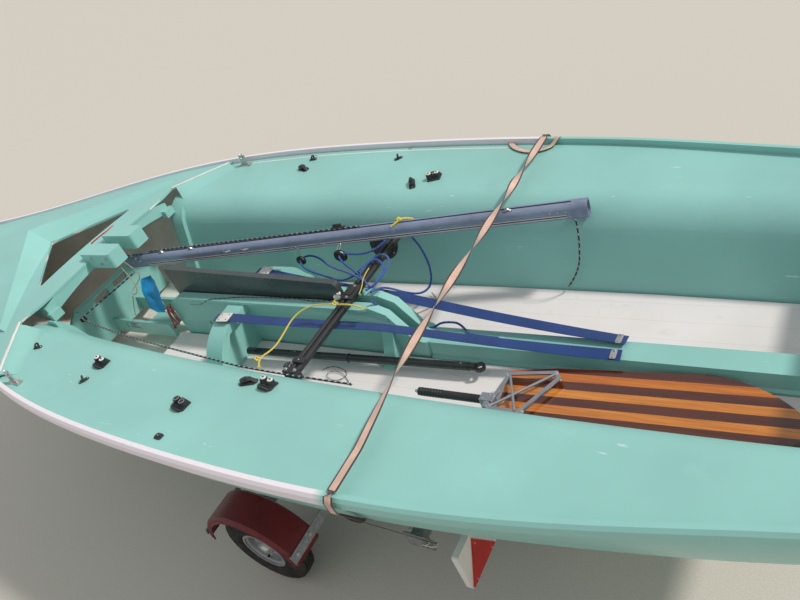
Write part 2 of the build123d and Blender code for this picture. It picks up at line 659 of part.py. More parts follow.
def make_jockey():
    """Jockey wheel: clamp and tubes, swivelling fork, rim and tyre."""
    x, y = JOCKEY
    low = JOCKEY_R * 2 + 12 - KEEL_HEIGHT
    outer = rod((x, y, low + 60), (x, y, low + 460), 24, 21)
    inner = rod((x, y, low + 8), (x, y, low + 420), 20.8, 7.4)
    cap = rod((x, y, low + 460), (x, y, low + 480), 24)
    crank = rod((x, y, low + 480), (x, y, low + 500), 7)
    crank += rod((x, y, low + 494), (x - 90, y, low + 494), 6)
    crank += rod((x - 88, y, low + 488), (x - 88, y, low + 560), 9)
    clamp = Pos(x, (30 + y - 20) / 2, RAIL_Z) * Box(60, y - 50, 56)
    clamp += rod((x, y, RAIL_Z - 28), (x, y, RAIL_Z + 28), 32, 24)
    clamp -= rod((x, y, RAIL_Z - 60), (x, y, RAIL_Z + 60), 24)
    crown = Pos(x - 12, y, low + 3) * Box(74, 78, 6)
    axle_z = JOCKEY_R - KEEL_HEIGHT
    fork = crown + rod((x, y, low + 3), (x, y, low + 70), 7)
    for side in (1, -1):
        leg = make_face(Polyline(
            (x + 25, low + 4), (x - 49, low + 4), (x - 53, axle_z - 14), (x - 17, axle_z - 14), close=True))
        leg = extrude(Plane.XZ.offset(-(y + side * 36.5)) * leg, 2.5, both=True)
        fork += leg
    fork += y_cylinder(x - 35, y, axle_z, 8, 84)
    centre = (x - 35, y, axle_z)
    turn = Plane(origin=centre, x_dir=(0, 1, 0), z_dir=(1, 0, 0))
    axis = Axis(centre, (0, 1, 0))
    rim = revolve(turn * make_face(Polyline(
        (-28, 8.4), (28, 8.4), (28, 20), (8, 24), (8, 60), (22, 68), (22, 74), (-22, 74), (-22, 68),
        (-8, 60), (-8, 24), (-28, 20), close=True)), axis)
    tyre = revolve(turn * make_face([
        Line((-22, 74), (22, 74)),
        Line((22, 74), (24, 88)),
        ThreePointArc((24, 88), (0, JOCKEY_R), (-24, 88)),
        Line((-24, 88), (-22, 74)),
    ]), axis)
    return [outer + cap + clamp, inner], crank, fork, rim, tyre


def make_bow_post(outer):
    low, high = RAIL_Z + 30, 500
    post = Pos(POST_X, 0, (low + high) / 2) * (Box(50, 50, high - low) - Box(44, 44, high - low))
    foot = Pos(POST_X, 0, RAIL_Z + 34) * Box(130, 90, 8) - Pos(POST_X, 0, RAIL_Z + 34) * Box(50, 50, 20)
    arm = Pos(POST_X - 38, 0, 455) * Box(26, 50, 60)
    chock = Pos(POST_X - 86, 0, 455) * Box(70, 90, 110)
    notch = plan_prism([(POST_X - 130, 60), (POST_X - 96, 0), (POST_X - 130, -60)], 300, 600)
    return post + foot + arm, chock - notch - outer


def on_surface(body, x, y):
    """Plane standing on a body's top at a plan position, its x axis forward."""
    hits = body.find_intersection_points(Axis((x, y, -500), (0, 0, 1)))
    point, normal = max(hits, key=lambda hit: hit[0].Z)
    if normal.Z < 0:
        normal = -normal
    side = normal.cross(Vector(1, 0, 0))
    return Plane(origin=point, x_dir=side.cross(normal), z_dir=normal)


def pad_eye(plane):
    base = extrude(plane * SlotOverall(52, 18), 3)
    ring = extrude(Plane(plane.origin + plane.z_dir * 3, x_dir=plane.x_dir, z_dir=-plane.y_dir)
                   * (Circle(13) - Circle(8) & Pos(0, 10) * Rectangle(40, 20)), 3, both=True)
    return base + ring


def cam_cleat(plane):
    base = extrude(plane * RectangleRounded(66, 27, 8), 12)
    jaws = [extrude(plane.offset(12) * Pos(0, side * 11) * Circle(10), 12) for side in (1, -1)]
    guide = extrude(plane.offset(12) * Pos(-24, 0) * RectangleRounded(8, 26, 3), 20)
    return base + jaws[0] + jaws[1] + guide


def small_block(plane):
    base = extrude(plane * Circle(17), 5)
    cheeks = plane * Pos(0, 0, 26) * Rot(90, 0, 0) * (Cylinder(19, 18) - Cylinder(5, 30))
    return base + cheeks


def make_fittings(tank, solid_tanks, spots):
    kinds = {"eye": pad_eye, "cleat": cam_cleat, "block": small_block}
    return cut_by([kinds[kind](on_surface(tank, x, y)) for kind, x, y in spots], solid_tanks)


def make_shroud_plates(port_tank):
    plates = []
    for side in (1, -1):
        lug = Pos(SHROUD[0], SHROUD[1], SHROUD[2]) * Box(44, 5, 56)
        lug -= y_cylinder(SHROUD[0], SHROUD[1], SHROUD[2] + 14, 4.05, 30)
        base = Pos(SHROUD[0], SHROUD[1], SHROUD[2] - 29) * Box(84, 28, 4)
        both = (lug + base) - port_tank
        plates.append(both if side > 0 else mirror(both, about=Plane.XZ))
    return plates


def make_traveller(tanks):
    """Two parallel bars across the cockpit, held in an end fitting on each tank."""
    bars = []
    for ahead in (1, -1):
        bar = Pos(TRAVELLER_X + ahead * 15, 0, TRAVELLER_Z) * Box(18, 840, 22)
        bars.append(largest(fillet(bar.edges().filter_by(Axis.Y), 4) - tanks))
    ends = []
    for side in (1, -1):
        end = Pos(TRAVELLER_X, side * 440, TRAVELLER_Z) * Box(66, 26, 44)
        end -= Pos(TRAVELLER_X, 0, TRAVELLER_Z) * Box(50, 860, 24)
        ends.append(largest(end - tanks))
    return bars, ends


def make_pole():
    start, end = Vector(2392, 178, 170), Vector(1276, 128, 170)
    tube = rod(start, end, 16, 14)
    way = (end - start).normalized()
    fitting = rod(end - way * 10, end + way * 26, 14)
    fitting += Pos(*(end + way * 42)) * (Cylinder(21, 14) - Cylinder(12, 20))
    return tube + fitting


def make_spine():
    outline = make_face(Polyline(
        (SPINE_HALF, 106), (SPINE_HALF, 128), (50, 134), (44, SPINE_TOP), (-44, SPINE_TOP), (-50, 134),
        (-SPINE_HALF, 128), (-SPINE_HALF, 106), close=True))
    return extrude(station_plane(20) * outline, 1489 - 20)


def make_hatch(tank):
    """Round inspection cover on the leaning wall of the starboard tank, with a finger slot."""
    point, normal = tank.find_intersection_points(Axis((HATCH_X, 0, HATCH_Z), (0, -1, 0)))[0]
    if normal.Y < 0:
        normal = -normal
    plane = Plane(origin=point, x_dir=(1, 0, 0), z_dir=normal)
    cover = extrude(plane * Circle(78), 6) + extrude(plane * Circle(62), 10)
    return cover - extrude(plane.offset(8) * (SlotOverall(84, 16)), 10) - tank


def make_bow_fitting():
    plate = Pos(4968, 0, 688) * Box(96, 22, 4)
    lug = Pos(4968, 0, 702) * Box(44, 5, 28)
    return plate + lug - y_cylinder(4968, 0, 706, 4.05, 20)


def build():
    outer, inner, shell = make_hull()
    port_tank, starboard_tank, both_tanks = make_tanks(inner)
    deck = make_foredeck(outer)
    forward, aft = make_frames()
    nodes["hull_shell"] = shell
    nodes["side_tank_port"] = port_tank
    nodes["side_tank_starboard"] = starboard_tank
    nodes["foredeck"] = deck
    nodes["mast_gate_beam"] = make_gate(deck, both_tanks)
    for name, side in SIDES:
        nodes[f"strake_{name}"] = make_strake(side) - outer - deck
        nodes[f"transom_flap_{name}"] = make_flap(side)
        tyre, rim = make_wheel(side)
        nodes[f"tyre_{name}"] = tyre
        nodes[f"wheel_rim_{name}"] = rim
        nodes[f"mudguard_{name}"] = make_mudguard(side)
    nodes["deck_fittings_port"] = make_fittings(port_tank, both_tanks, PORT_FITTINGS)
    nodes["deck_fittings_starboard"] = make_fittings(starboard_tank, both_tanks, STARBOARD_FITTINGS)
    nodes["cockpit_floor"] = make_floor()
    nodes["centre_spine"] = make_spine()
    nodes["centreboard_trunk"] = make_trunk()
    nodes["centreboard"] = make_board()
    nodes["centreboard_pin"] = y_cylinder(BOARD_PIVOT[0], 0, BOARD_PIVOT[1], 8, 124)
    nodes["forward_frames"] = cut_by(forward, both_tanks)
    nodes["aft_knees"] = cut_by(aft, both_tanks)
    nodes["mast_step_frame"] = cut_by(cut_by(make_mast_step(), both_tanks), shell)
    nodes["transom"] = make_transom(inner) + make_flap_hinges()
    nodes["rudder_gudgeons"] = make_gudgeons()
    nodes["shroud_plates"] = make_shroud_plates(port_tank)
    nodes["bow_fitting"] = make_bow_fitting()
    nodes["inspection_hatch"] = make_hatch(starboard_tank)
    nodes["traveller_bar"], nodes["traveller_ends"] = make_traveller(both_tanks)
    nodes["boom_tube"], nodes["boom_ends"] = make_boom()
    nodes["spinnaker_pole"] = make_pole()
    nodes["rudder_blade"], nodes["rudder_stock"], nodes["tiller"] = make_rudder()
    nodes["toe_straps"] = make_toe_straps()
    nodes["tie_down_strap"] = make_tie_down()
    nodes["trailer_chassis"] = make_chassis()
    nodes["trailer_cross_member"] = make_cross_member()
    nodes["axle_beam"], nodes["axle_arms"] = make_axle()
    rollers, brackets = make_roller_set()
    nodes["hull_rollers"] = cut_by(rollers, outer)
    nodes["roller_brackets"] = brackets
    nodes["mudguard_stays"] = make_guard_stays()
    lamp_names = ("lamp_board", "tail_lamps", "reflectors", "number_plate")
    for name, shape in zip(lamp_names, make_lamp_board()):
        nodes[name] = shape
    nodes["coupling_head"] = make_coupling()
    jockey_names = ("jockey_tubes", "jockey_crank", "jockey_fork", "jockey_rim", "jockey_tyre")
    for name, shape in zip(jockey_names, make_jockey()):
        nodes[name] = shape
    nodes["bow_post"], nodes["bow_chock"] = make_bow_post(outer)
    return nodes


def main():
    os.makedirs("parts", exist_ok=True)
    build()
    whole = [shape for item in nodes.values() for shape in (item if isinstance(item, list) else [item])]
    box = Compound(whole).bounding_box()
    shift = Vector(-(box.min.X + box.max.X) / 2, 0, KEEL_HEIGHT)
    for name, item in nodes.items():
        shape = Compound(item) if isinstance(item, list) else item
        export_step(Pos(shift) * shape, f"parts/{name}.step")
    print(len(nodes), "nodes, moved by", shift, "box", box.size, "low", box.min.Z, "y", box.min.Y, box.max.Y)


main()
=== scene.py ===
"""Looks of a racing dinghy on its road trailer: finishes, ropes, webbing, fittings, camera and light."""

import json
import math

import bmesh
import bpy
from bpy.props import FloatProperty, FloatVectorProperty, IntProperty, PointerProperty
from mathutils import Matrix, Vector
from mathutils.bvhtree import BVHTree


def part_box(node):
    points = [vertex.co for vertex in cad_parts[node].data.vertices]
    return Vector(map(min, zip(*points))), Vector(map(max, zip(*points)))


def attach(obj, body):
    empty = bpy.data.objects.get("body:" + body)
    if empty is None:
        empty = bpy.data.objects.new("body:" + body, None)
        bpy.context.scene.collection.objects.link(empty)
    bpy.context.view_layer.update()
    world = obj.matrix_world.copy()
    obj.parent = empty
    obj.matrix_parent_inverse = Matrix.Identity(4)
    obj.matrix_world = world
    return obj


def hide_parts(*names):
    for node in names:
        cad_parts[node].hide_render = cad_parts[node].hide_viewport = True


bl_info = {
    "name": "Dinghy on a Trailer",
    "version": (1, 0, 0),
    "blender": (4, 5, 0),
    "location": "View3D > Sidebar > Dinghy",
    "description": "Dresses a racing dinghy and its road trailer with finishes, ropes and fittings",
    "category": "Object",
}

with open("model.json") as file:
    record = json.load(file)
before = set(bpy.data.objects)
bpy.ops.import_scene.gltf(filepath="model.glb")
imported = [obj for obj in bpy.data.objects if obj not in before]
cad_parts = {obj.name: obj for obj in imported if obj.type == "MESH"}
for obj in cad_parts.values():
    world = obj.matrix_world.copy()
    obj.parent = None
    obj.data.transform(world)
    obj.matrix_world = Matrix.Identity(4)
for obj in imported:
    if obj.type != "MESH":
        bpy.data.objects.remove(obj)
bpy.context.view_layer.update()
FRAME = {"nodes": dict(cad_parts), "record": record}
NODES = FRAME["nodes"]
ROOT = "boat_and_trailer"
TRANSOM_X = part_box("hull_shell")[0].x
KEEL_Z = 0.56
PROBE_HEIGHT = 1.2
UP = Vector((0, 0, 1))
AHEAD = Vector((1, 0, 0))
PORT = Vector((0, 1, 0))
SIDES = (("port", 1), ("starboard", -1))
TANKS = ("side_tank_port", "side_tank_starboard", "foredeck", "strake_port", "strake_starboard", "hull_shell")
SHARP = math.radians(40)
TREES = {}
FINISHES = {}

# Where finishes change, in metres of the boat's frame
DECK_BARE_X = 3.0
HULL_BARE_X = 3.1
PAINT_STARTS = 1.26
PAINT_FULL = 1.30
BLADE_X = 0.48
BLADE_SLANT = 0.044
BLADE_EDGE_Y = 0.095
STRIP_WIDTH = 0.0715
# Height of the hull's middle in the model's frame
HULL_MIDDLE_Z = 0.96
# Webbing's thread pitch, the cloth's squares in a metre with their ribs' share, and its thickness
THREAD_PITCH = 0.0022
CLOTH_SQUARES = 125.0
RIB_SHARE = 0.12
CLOTH_THICK = 0.0012

# Places on the trailer and the boat, in metres of the boat's frame
AXLE_X = 2.13
HUB_Y = 0.772
HUB_Z = -0.355
GUARD_RADIUS = 0.271
GUARD_TILT = math.radians(21)
SHROUD_X = 2.99
SHROUD_Y = 0.826
SHROUD_HOLE_Z = 0.598
TRAVELLER_X = 1.81
TRAVELLER_TOP = 0.388
POLE_FORE = (2.392, 0.178)
POLE_AFT = (1.276, 0.128)
POLE_TOP = 0.186
TILLER_WAY = (237, 18, 20)
BILGE_ROLLERS = ((1.55, 0.7, 0.02, 0.074), (2.76, 0.53, 0.012, 0.06))
LAMP_Z = -0.101
REFLECTOR_Y = 0.682
# Radius and height of the tyre's section from the bead to the middle of the tread
TYRE_HALF = [
    (0.098, 0.034), (0.107, 0.034), (0.113, 0.044), (0.128, 0.0485), (0.131, 0.0497), (0.134, 0.0489),
    (0.150, 0.0497), (0.165, 0.0485), (0.168, 0.0492), (0.171, 0.0478), (0.186, 0.0435),
    (0.1955, 0.0375), (0.2005, 0.031), (0.2015, 0.0225), (0.1965, 0.0215), (0.1965, 0.0185),
    (0.2022, 0.0175), (0.2028, 0.0025), (0.1975, 0.0015)]
RIB_RADIUS = 0.199


def boat(x, y, z):
    """A point of the boat's own frame (from the transom, to port, above the keel) in the model's frame."""
    return Vector((x + TRANSOM_X, y, z + KEEL_Z))


def route(places):
    return [boat(*place) for place in places]


def surface(name):
    """Search tree of a CAD node's faces."""
    if name not in TREES:
        shape = bmesh.new()
        shape.from_mesh(NODES[name].data)
        TREES[name] = BVHTree.FromBMesh(shape)
        shape.free()
    return TREES[name]


def below(x, y, names):
    """Highest point, and its normal, of some CAD surfaces under a place in the boat's frame."""
    hits = [surface(name).ray_cast(boat(x, y, PROBE_HEIGHT), -UP)[:2] for name in names]
    hits = [hit for hit in hits if hit[0]]
    if not hits:
        raise ValueError(f"nothing under {x}, {y} in {names}")
    spot, normal = max(hits, key=lambda hit: hit[0].z)
    return spot, normal if normal.z > 0 else -normal


def stand(spot, along=AHEAD, up=UP):
    """Matrix at a spot with its Z up and its X as near as can be to a direction."""
    z = up.normalized()
    y = z.cross(along).normalized()
    turn = Matrix((y.cross(z), y, z)).transposed()
    return Matrix.Translation(spot) @ turn.to_4x4()


def seat(x, y, turn):
    """Matrix of a fitting that stands on the deck, X turned from ahead."""
    spot, normal = below(x, y, TANKS)
    angle = math.radians(turn)
    return stand(spot, Vector((math.cos(angle), math.sin(angle), 0)), normal)


def shift(x=0.0, y=0.0, z=0.0):
    return Matrix.Translation((x, y, z))


def turned(angle, axis):
    return Matrix.Rotation(math.radians(angle), 4, axis)


def circle(radius, count, centre=(0.0, 0.0)):
    """Outline or section with equal steps."""
    steps = [math.tau * index / count for index in range(count)]
    return [(centre[0] + radius * math.cos(step), centre[1] + radius * math.sin(step)) for step in steps]


def toothed(radius, teeth, depth):
    """Outline of a cam's jaw, its radius going in and out."""
    reach = (radius, radius - depth)
    steps = [math.tau * index / (2 * teeth) for index in range(2 * teeth)]
    return [(reach[i % 2] * math.cos(step), reach[i % 2] * math.sin(step)) for i, step in enumerate(steps)]


def rounded(long, wide, radius, count=4):
    """Rectangle's outline with round corners."""
    outline = []
    for side_x, side_y, start in ((1, 1, 0), (-1, 1, 90), (-1, -1, 180), (1, -1, 270)):
        for index in range(count + 1):
            angle = math.radians(start + 90 * index / count)
            outline.append((side_x * (long / 2 - radius) + radius * math.cos(angle),
                            side_y * (wide / 2 - radius) + radius * math.sin(angle)))
    return outline


class Shape:
    """A mesh in the making, with a UV layer in metres."""

    def __init__(self):
        self.mesh = bmesh.new()
        self.uv = self.mesh.loops.layers.uv.new("metres")

    def soften(self, verts, bevel):
        """Rounds the sharp edges of what was just made."""
        if not bevel:
            return
        self.mesh.normal_update()
        edges = {edge for vert in verts for edge in vert.link_edges if len(edge.link_faces) == 2}
        sharp = [edge for edge in edges if edge.calc_face_angle(0.0) > SHARP]
        bmesh.ops.bevel(self.mesh, geom=sharp, offset=bevel, offset_type="OFFSET", segments=2,
                        profile=0.5, affect="EDGES", material=-1, clamp_overlap=True)

    def box(self, size, at, bevel=0.0):
        made = bmesh.ops.create_cube(self.mesh, size=1.0, matrix=at @ Matrix.Diagonal((*size, 1)))
        self.soften(made["verts"], bevel)

    def rod(self, radius, depth, at, top=None, segments=16, bevel=0.0):
        """Round or tapered pin whose foot is at the matrix's origin."""
        made = bmesh.ops.create_cone(self.mesh, cap_ends=True, segments=segments, radius1=radius,
                                     radius2=radius if top is None else top, depth=depth,
                                     matrix=at @ shift(z=depth / 2))
        self.soften(made["verts"], bevel)

    def slab(self, outline, thick, at, bevel=0.0):
        """Plate cut to an outline, upward from the matrix's plane."""
        verts = [self.mesh.verts.new(at @ Vector((x, y, 0))) for x, y in outline]
        face = self.mesh.faces.new(verts)
        made = bmesh.ops.extrude_face_region(self.mesh, geom=[face])["geom"]
        top = [item for item in made if isinstance(item, bmesh.types.BMVert)]
        bmesh.ops.translate(self.mesh, verts=top, vec=at.to_3x3() @ Vector((0, 0, thick)))
        self.soften(verts + top, bevel)

    def lathe(self, profile, at, steps):
        """Turns (radius, height) points about Z: a closed ring of them, or a line from axis to axis."""
        start = len(self.mesh.verts)
        verts = [self.mesh.verts.new(at @ Vector((radius, 0, height))) for radius, height in profile]
        edges = [self.mesh.edges.new(pair) for pair in zip(verts, verts[1:])]
        bmesh.ops.spin(self.mesh, geom=verts + edges, cent=at.translation, axis=at.to_3x3() @ UP,
                       dvec=(0, 0, 0), angle=math.tau, steps=steps, use_merge=True, use_duplicate=False)
        self.mesh.verts.ensure_lookup_table()
        bmesh.ops.remove_doubles(self.mesh, verts=self.mesh.verts[start:], dist=1e-6)

    def ring(self, major, minor, at, steps=24, sides=8):
        outline = circle(minor, sides, (major, 0.0))
        self.lathe(outline + outline[:1], at, steps)

    def sweep(self, frames, section, across=None):
        """Skin over copies of a section along frames: U is metres along, V the place in the section."""
        rings = [[frame @ Vector((0, y, z)) for y, z in section] for frame in frames]
        self.skin(rings, [frame.translation for frame in frames], across)

    def skin(self, rings, spine, across=None):
        """Closed skin over rings of equally many points, one for each point of a line."""
        count = len(rings[0])
        across = across or [index / count for index in range(count + 1)]
        verts = [self.mesh.verts.new(point) for point in rings[0]]
        edges = [self.mesh.edges.new(pair) for pair in zip(verts, verts[1:] + verts[:1])]
        self.mesh.faces.new(verts)
        place = {vert: (0.0, index) for index, vert in enumerate(verts)}
        length = 0.0
        for ring, before, after in zip(rings[1:], spine, spine[1:]):
            length += (after - before).length
            made = bmesh.ops.extrude_edge_only(self.mesh, edges=edges)["geom"]
            fresh = {item for item in made if isinstance(item, bmesh.types.BMVert)}
            verts = [next(edge.other_vert(vert) for edge in vert.link_edges if edge.other_vert(vert) in fresh)
                     for vert in verts]
            edges = [item for item in made if isinstance(item, bmesh.types.BMEdge)
                     and item.verts[0] in fresh and item.verts[1] in fresh]
            for index, (vert, point) in enumerate(zip(verts, ring)):
                vert.co = point
                place[vert] = (length, index)
        self.mesh.faces.new(verts)
        self.lay_uv(place, across, count)

    def lay_uv(self, place, across, count):
        for face in self.mesh.faces:
            if len(face.verts) != 4 or any(vert not in place for vert in face.verts):
                continue
            wraps = {place[vert][1] for vert in face.verts} == {0, count - 1}
            for loop in face.loops:
                length, index = place[loop.vert]
                loop[self.uv].uv = (length, across[count if wraps and index == 0 else index])

    def strip(self, line, up, section):
        """Bar along a fine line, turned all the way to the same side."""
        self.sweep(frames_along(line, [up] * len(line)), section)

    def wire(self, places, radius, sides=8):
        """Bent rod along a smooth line of control points."""
        self.sweep(frames_along(smooth_line(places)), circle(radius, sides))


def smooth_line(places):
    """Points along the NURBS line that control points give."""
    curve = bpy.data.curves.new("line", "CURVE")
    curve.dimensions = "3D"
    curve.resolution_u = 6
    spline = curve.splines.new("NURBS")
    spline.points.add(len(places) - 1)
    for point, place in zip(spline.points, places):
        point.co = (*place, 1.0)
    spline.order_u = 3
    spline.use_endpoint_u = True
    obj = bpy.data.objects.new("line", curve)
    mesh = bpy.data.meshes.new_from_object(obj)
    points = [vert.co.copy() for vert in mesh.vertices]
    bpy.data.objects.remove(obj)
    bpy.data.curves.remove(curve)
    bpy.data.meshes.remove(mesh)
    return points


def frames_along(points, ups=None):
    """Frames along a line, X forward: carried without twist, or with their Z nearest to given directions."""
    frames = []
    side = None
    for index, point in enumerate(points):
        way = (points[min(index + 1, len(points) - 1)] - points[max(index - 1, 0)]).normalized()
        if ups:
            side = ups[index].cross(way)
        elif side is None:
            side = (UP if abs(way.z) < 0.9 else AHEAD).cross(way)
        side = (side - way * side.dot(way)).normalized()
        frames.append(Matrix.Translation(point) @ Matrix((way, side, way.cross(side))).transposed().to_4x4())
    return frames


def flat_section(width, thick):
    """Webbing's section, a little thinner at its selvedges, and its places across from edge to edge."""
    half = width / 2
    places = (-half, -0.7 * half, 0.0, 0.7 * half, half)
    rises = (0.3, 0.5, 0.5, 0.5, 0.3)
    top = [(y, thick * rise) for y, rise in zip(places, rises)]
    low = [(y, -thick * rise) for y, rise in zip(places, rises)]
    section = top + low[::-1]
    return section, [y for y, _ in section] + [section[0][0]]


def piece(name, shape, slot, body=ROOT, replaces=(), crease=35):
    """Object made of a shape, in the finish of its slot, riding on a body."""
    bmesh.ops.recalc_face_normals(shape.mesh, faces=shape.mesh.faces[:])
    mesh = bpy.data.meshes.new(name)
    shape.mesh.to_mesh(mesh)
    shape.mesh.free()
    mesh.materials.append(FINISHES[slot])
    mesh.shade_smooth()
    mesh.set_sharp_from_angle(angle=math.radians(crease))
    obj = bpy.data.objects.new(name, mesh)
    bpy.context.scene.collection.objects.link(obj)
    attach(obj, body)
    if replaces:
        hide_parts(*replaces)
    return obj


def knot(shape, spot, size, way):
    """Overhand knot pulled tight: a cord wound through itself."""
    at = stand(spot, UP if abs(way.z) < 0.9 else AHEAD, way)
    turns = [math.tau * index / 30 for index in range(30)]
    wound = [at @ (Vector((math.sin(t) + 2 * math.sin(2 * t), math.cos(t) - 2 * math.cos(2 * t),
                           -1.6 * math.sin(3 * t))) * size / 5) for t in turns]
    frames = frames_along(wound + wound[:1])
    shape.sweep(frames, circle(size * 0.28, 8))


def rope(name, places, diameter, slot, knots=0):
    """Free rope along control points: its length is what its smooth line measures."""
    points = smooth_line(route(places))
    shape = Shape()
    shape.sweep(frames_along(points), circle(diameter / 2, 9))
    obj = piece(name, shape, slot)
    if knots:
        tied = Shape()
        ways = ((points[0], points[1] - points[0]), (points[-1], points[-1] - points[-2]))
        for place, way in ways[-knots:]:
            knot(tied, place, diameter * 1.25, way)
        piece(f"{name}_knots", tied, slot)


def line(name, places, diameter, slot):
    """Rope that is held taut at both ends."""
    shape = Shape()
    shape.wire(route(places), diameter / 2, 9)
    piece(name, shape, slot)


def screw(shape, at, radius):
    """Pan head with a cross slot, sunk a little into what it holds."""
    shape.rod(radius, radius * 0.55, at, top=radius * 0.75, segments=14, bevel=radius * 0.12)
    slot = (radius * 1.1, radius * 0.22, radius * 0.2)
    for turn in (45, 135):
        shape.box(slot, at @ turned(turn, "Z") @ shift(z=radius * 0.57))


def screws(shape, at, places, radius):
    """Screws at places measured from a matrix."""
    for place in places:
        screw(shape, at @ shift(*place), radius)


def nut(shape, at, radius, height):
    """Hexagon nut with a washer under it and the bolt's end standing out."""
    shape.rod(radius * 1.35, height * 0.25, at, segments=24, bevel=height * 0.05)
    shape.rod(radius, height, at, segments=6, bevel=height * 0.12)
    shape.rod(radius * 0.5, height * 1.35, at, segments=12, bevel=height * 0.1)


def screen(red, green, blue):
    """Linear colour of a screen colour given from 0 to 255."""
    def linear(value):
        part = value / 255
        return part / 12.92 if part <= 0.04045 else ((part + 0.055) / 1.055) ** 2.4
    return (linear(red), linear(green), linear(blue))


def lighter(colour, factor):
    return tuple(min(1.0, part * factor) for part in colour[:3])


class Recipe:
    """A material built node by node round one Principled shader."""

    def __init__(self, name, roughness=0.5, metallic=0.0, coat=0.0, coat_roughness=0.1, sheen=0.0,
                 specular=0.5):
        self.material = bpy.data.materials.new(name)
        self.material.use_nodes = True
        self.tree = self.material.node_tree
        self.shader = self.tree.nodes["Principled BSDF"]
        inputs = self.shader.inputs
        inputs["Roughness"].default_value = roughness
        inputs["Metallic"].default_value = metallic
        inputs["Coat Weight"].default_value = coat
        inputs["Coat Roughness"].default_value = coat_roughness
        inputs["Sheen Weight"].default_value = sheen
        inputs["Specular IOR Level"].default_value = specular
        self.place = self.node("TexCoord")
        self.where = self.place.outputs["Object"]
        self.uv = self.place.outputs["UV"]

    def node(self, kind, sockets=None, **settings):
        made = self.tree.nodes.new("ShaderNode" + kind)
        for key, value in settings.items():
            setattr(made, key, value)
        for key, value in (sockets or {}).items():
            self.give(made.inputs[key], value)
        return made

    def give(self, socket, value):
        if isinstance(value, bpy.types.NodeSocket):
            self.tree.links.new(value, socket)
        elif socket.type == "RGBA":
            socket.default_value = (*value[:3], 1.0)
        else:
            socket.default_value = value

    def stretched(self, scale, turn=(0, 0, 0)):
        """Coordinates turned and scaled along the axes."""
        sockets = {"Vector": self.where, "Scale": scale, "Rotation": turn}
        return self.node("Mapping", sockets).outputs["Vector"]

    def noise(self, scale, detail=3.0, source=None, roughness=0.5):
        sockets = {"Vector": source or self.where, "Scale": scale, "Detail": detail, "Roughness": roughness}
        return self.node("TexNoise", sockets).outputs["Fac"]

    def cells(self, scale, output="Distance"):
        return self.node("TexVoronoi", {"Vector": self.where, "Scale": scale}).outputs[output]

    def specks(self, scale, spread, least):
        """Small dots, left only where a wide noise is high."""
        dots = self.fit(self.cells(scale), 0.04, 0.07, 1.0, 0.0)
        return self.math("MULTIPLY", dots, self.fit(self.noise(spread), least, 0.6))

    def math(self, operation, a, b=0.0, c=0.0):
        made = self.node("Math", operation=operation)
        for socket, value in zip(made.inputs, (a, b, c)):
            self.give(socket, value)
        return made.outputs[0]

    def fit(self, value, low, high, to_low=0.0, to_high=1.0):
        """A value taken from one range to another and held inside it."""
        sockets = {"Value": value, "From Min": low, "From Max": high, "To Min": to_low, "To Max": to_high}
        return self.node("MapRange", sockets).outputs["Result"]

    def axis(self, letter, source=None):
        return self.node("SeparateXYZ", {"Vector": source or self.where}).outputs[letter]

    def mix(self, factor, a, b):
        made = self.node("Mix", data_type="RGBA")
        self.give(made.inputs["Factor"], factor)
        self.give(made.inputs[6], a)
        self.give(made.inputs[7], b)
        return made.outputs[2]

    def over(self, strength, factor, tone, colour):
        """A colour laid over a tone as strongly as a factor says."""
        return self.mix(self.math("MULTIPLY", factor, strength), tone, colour)

    def colour(self, value):
        self.give(self.shader.inputs["Base Color"], value)
        return self

    def tone(self):
        return self.shader.inputs["Base Color"].links[0].from_socket

    def rough(self, value):
        self.give(self.shader.inputs["Roughness"], value)
        return self

    def bump(self, height, strength=0.3, distance=0.001):
        """Adds a bump over any that is there."""
        made = self.node("Bump", {"Height": height, "Strength": strength, "Distance": distance})
        socket = self.shader.inputs["Normal"]
        if socket.is_linked:
            self.tree.links.new(socket.links[0].from_socket, made.inputs["Normal"])
            self.tree.links.remove(socket.links[0])
        self.tree.links.new(made.outputs["Normal"], socket)
        return self


def aged_gelcoat(name, colour, gloss=0.42):
    """Chalked gelcoat: soft patches, thin pale scratches and fine dirt in the pores."""
    recipe = Recipe(name, roughness=gloss, coat=0.12, coat_roughness=0.35)
    patches = recipe.fit(recipe.noise(2.1, 4.0), 0.35, 0.7)
    chalk = recipe.fit(recipe.noise(6.0, 8.0, roughness=0.7), 0.58, 0.8)
    scratch = recipe.noise(70.0, 3.0, source=recipe.stretched((0.18, 1.0, 1.0), turn=(0, 0, 0.5)))
    fine = recipe.math("MULTIPLY", recipe.fit(scratch, 0.7, 0.74), recipe.fit(recipe.noise(5.0), 0.5, 0.6))
    tone = recipe.mix(patches, lighter(colour, 0.93), lighter(colour, 1.05))
    tone = recipe.over(0.22, chalk, tone, lighter(colour, 1.3))
    tone = recipe.over(0.5, fine, tone, screen(214, 232, 226))
    tone = recipe.over(0.35, recipe.specks(120.0, 17.0, 0.52), tone, screen(96, 106, 92))
    recipe.colour(tone)
    recipe.rough(recipe.fit(patches, 0.0, 1.0, gloss - 0.06, gloss + 0.12))
    recipe.bump(recipe.noise(40.0, 4.0), 0.1, 0.002)
    recipe.bump(recipe.noise(700.0, 2.0), 0.06, 0.0003)
    return recipe


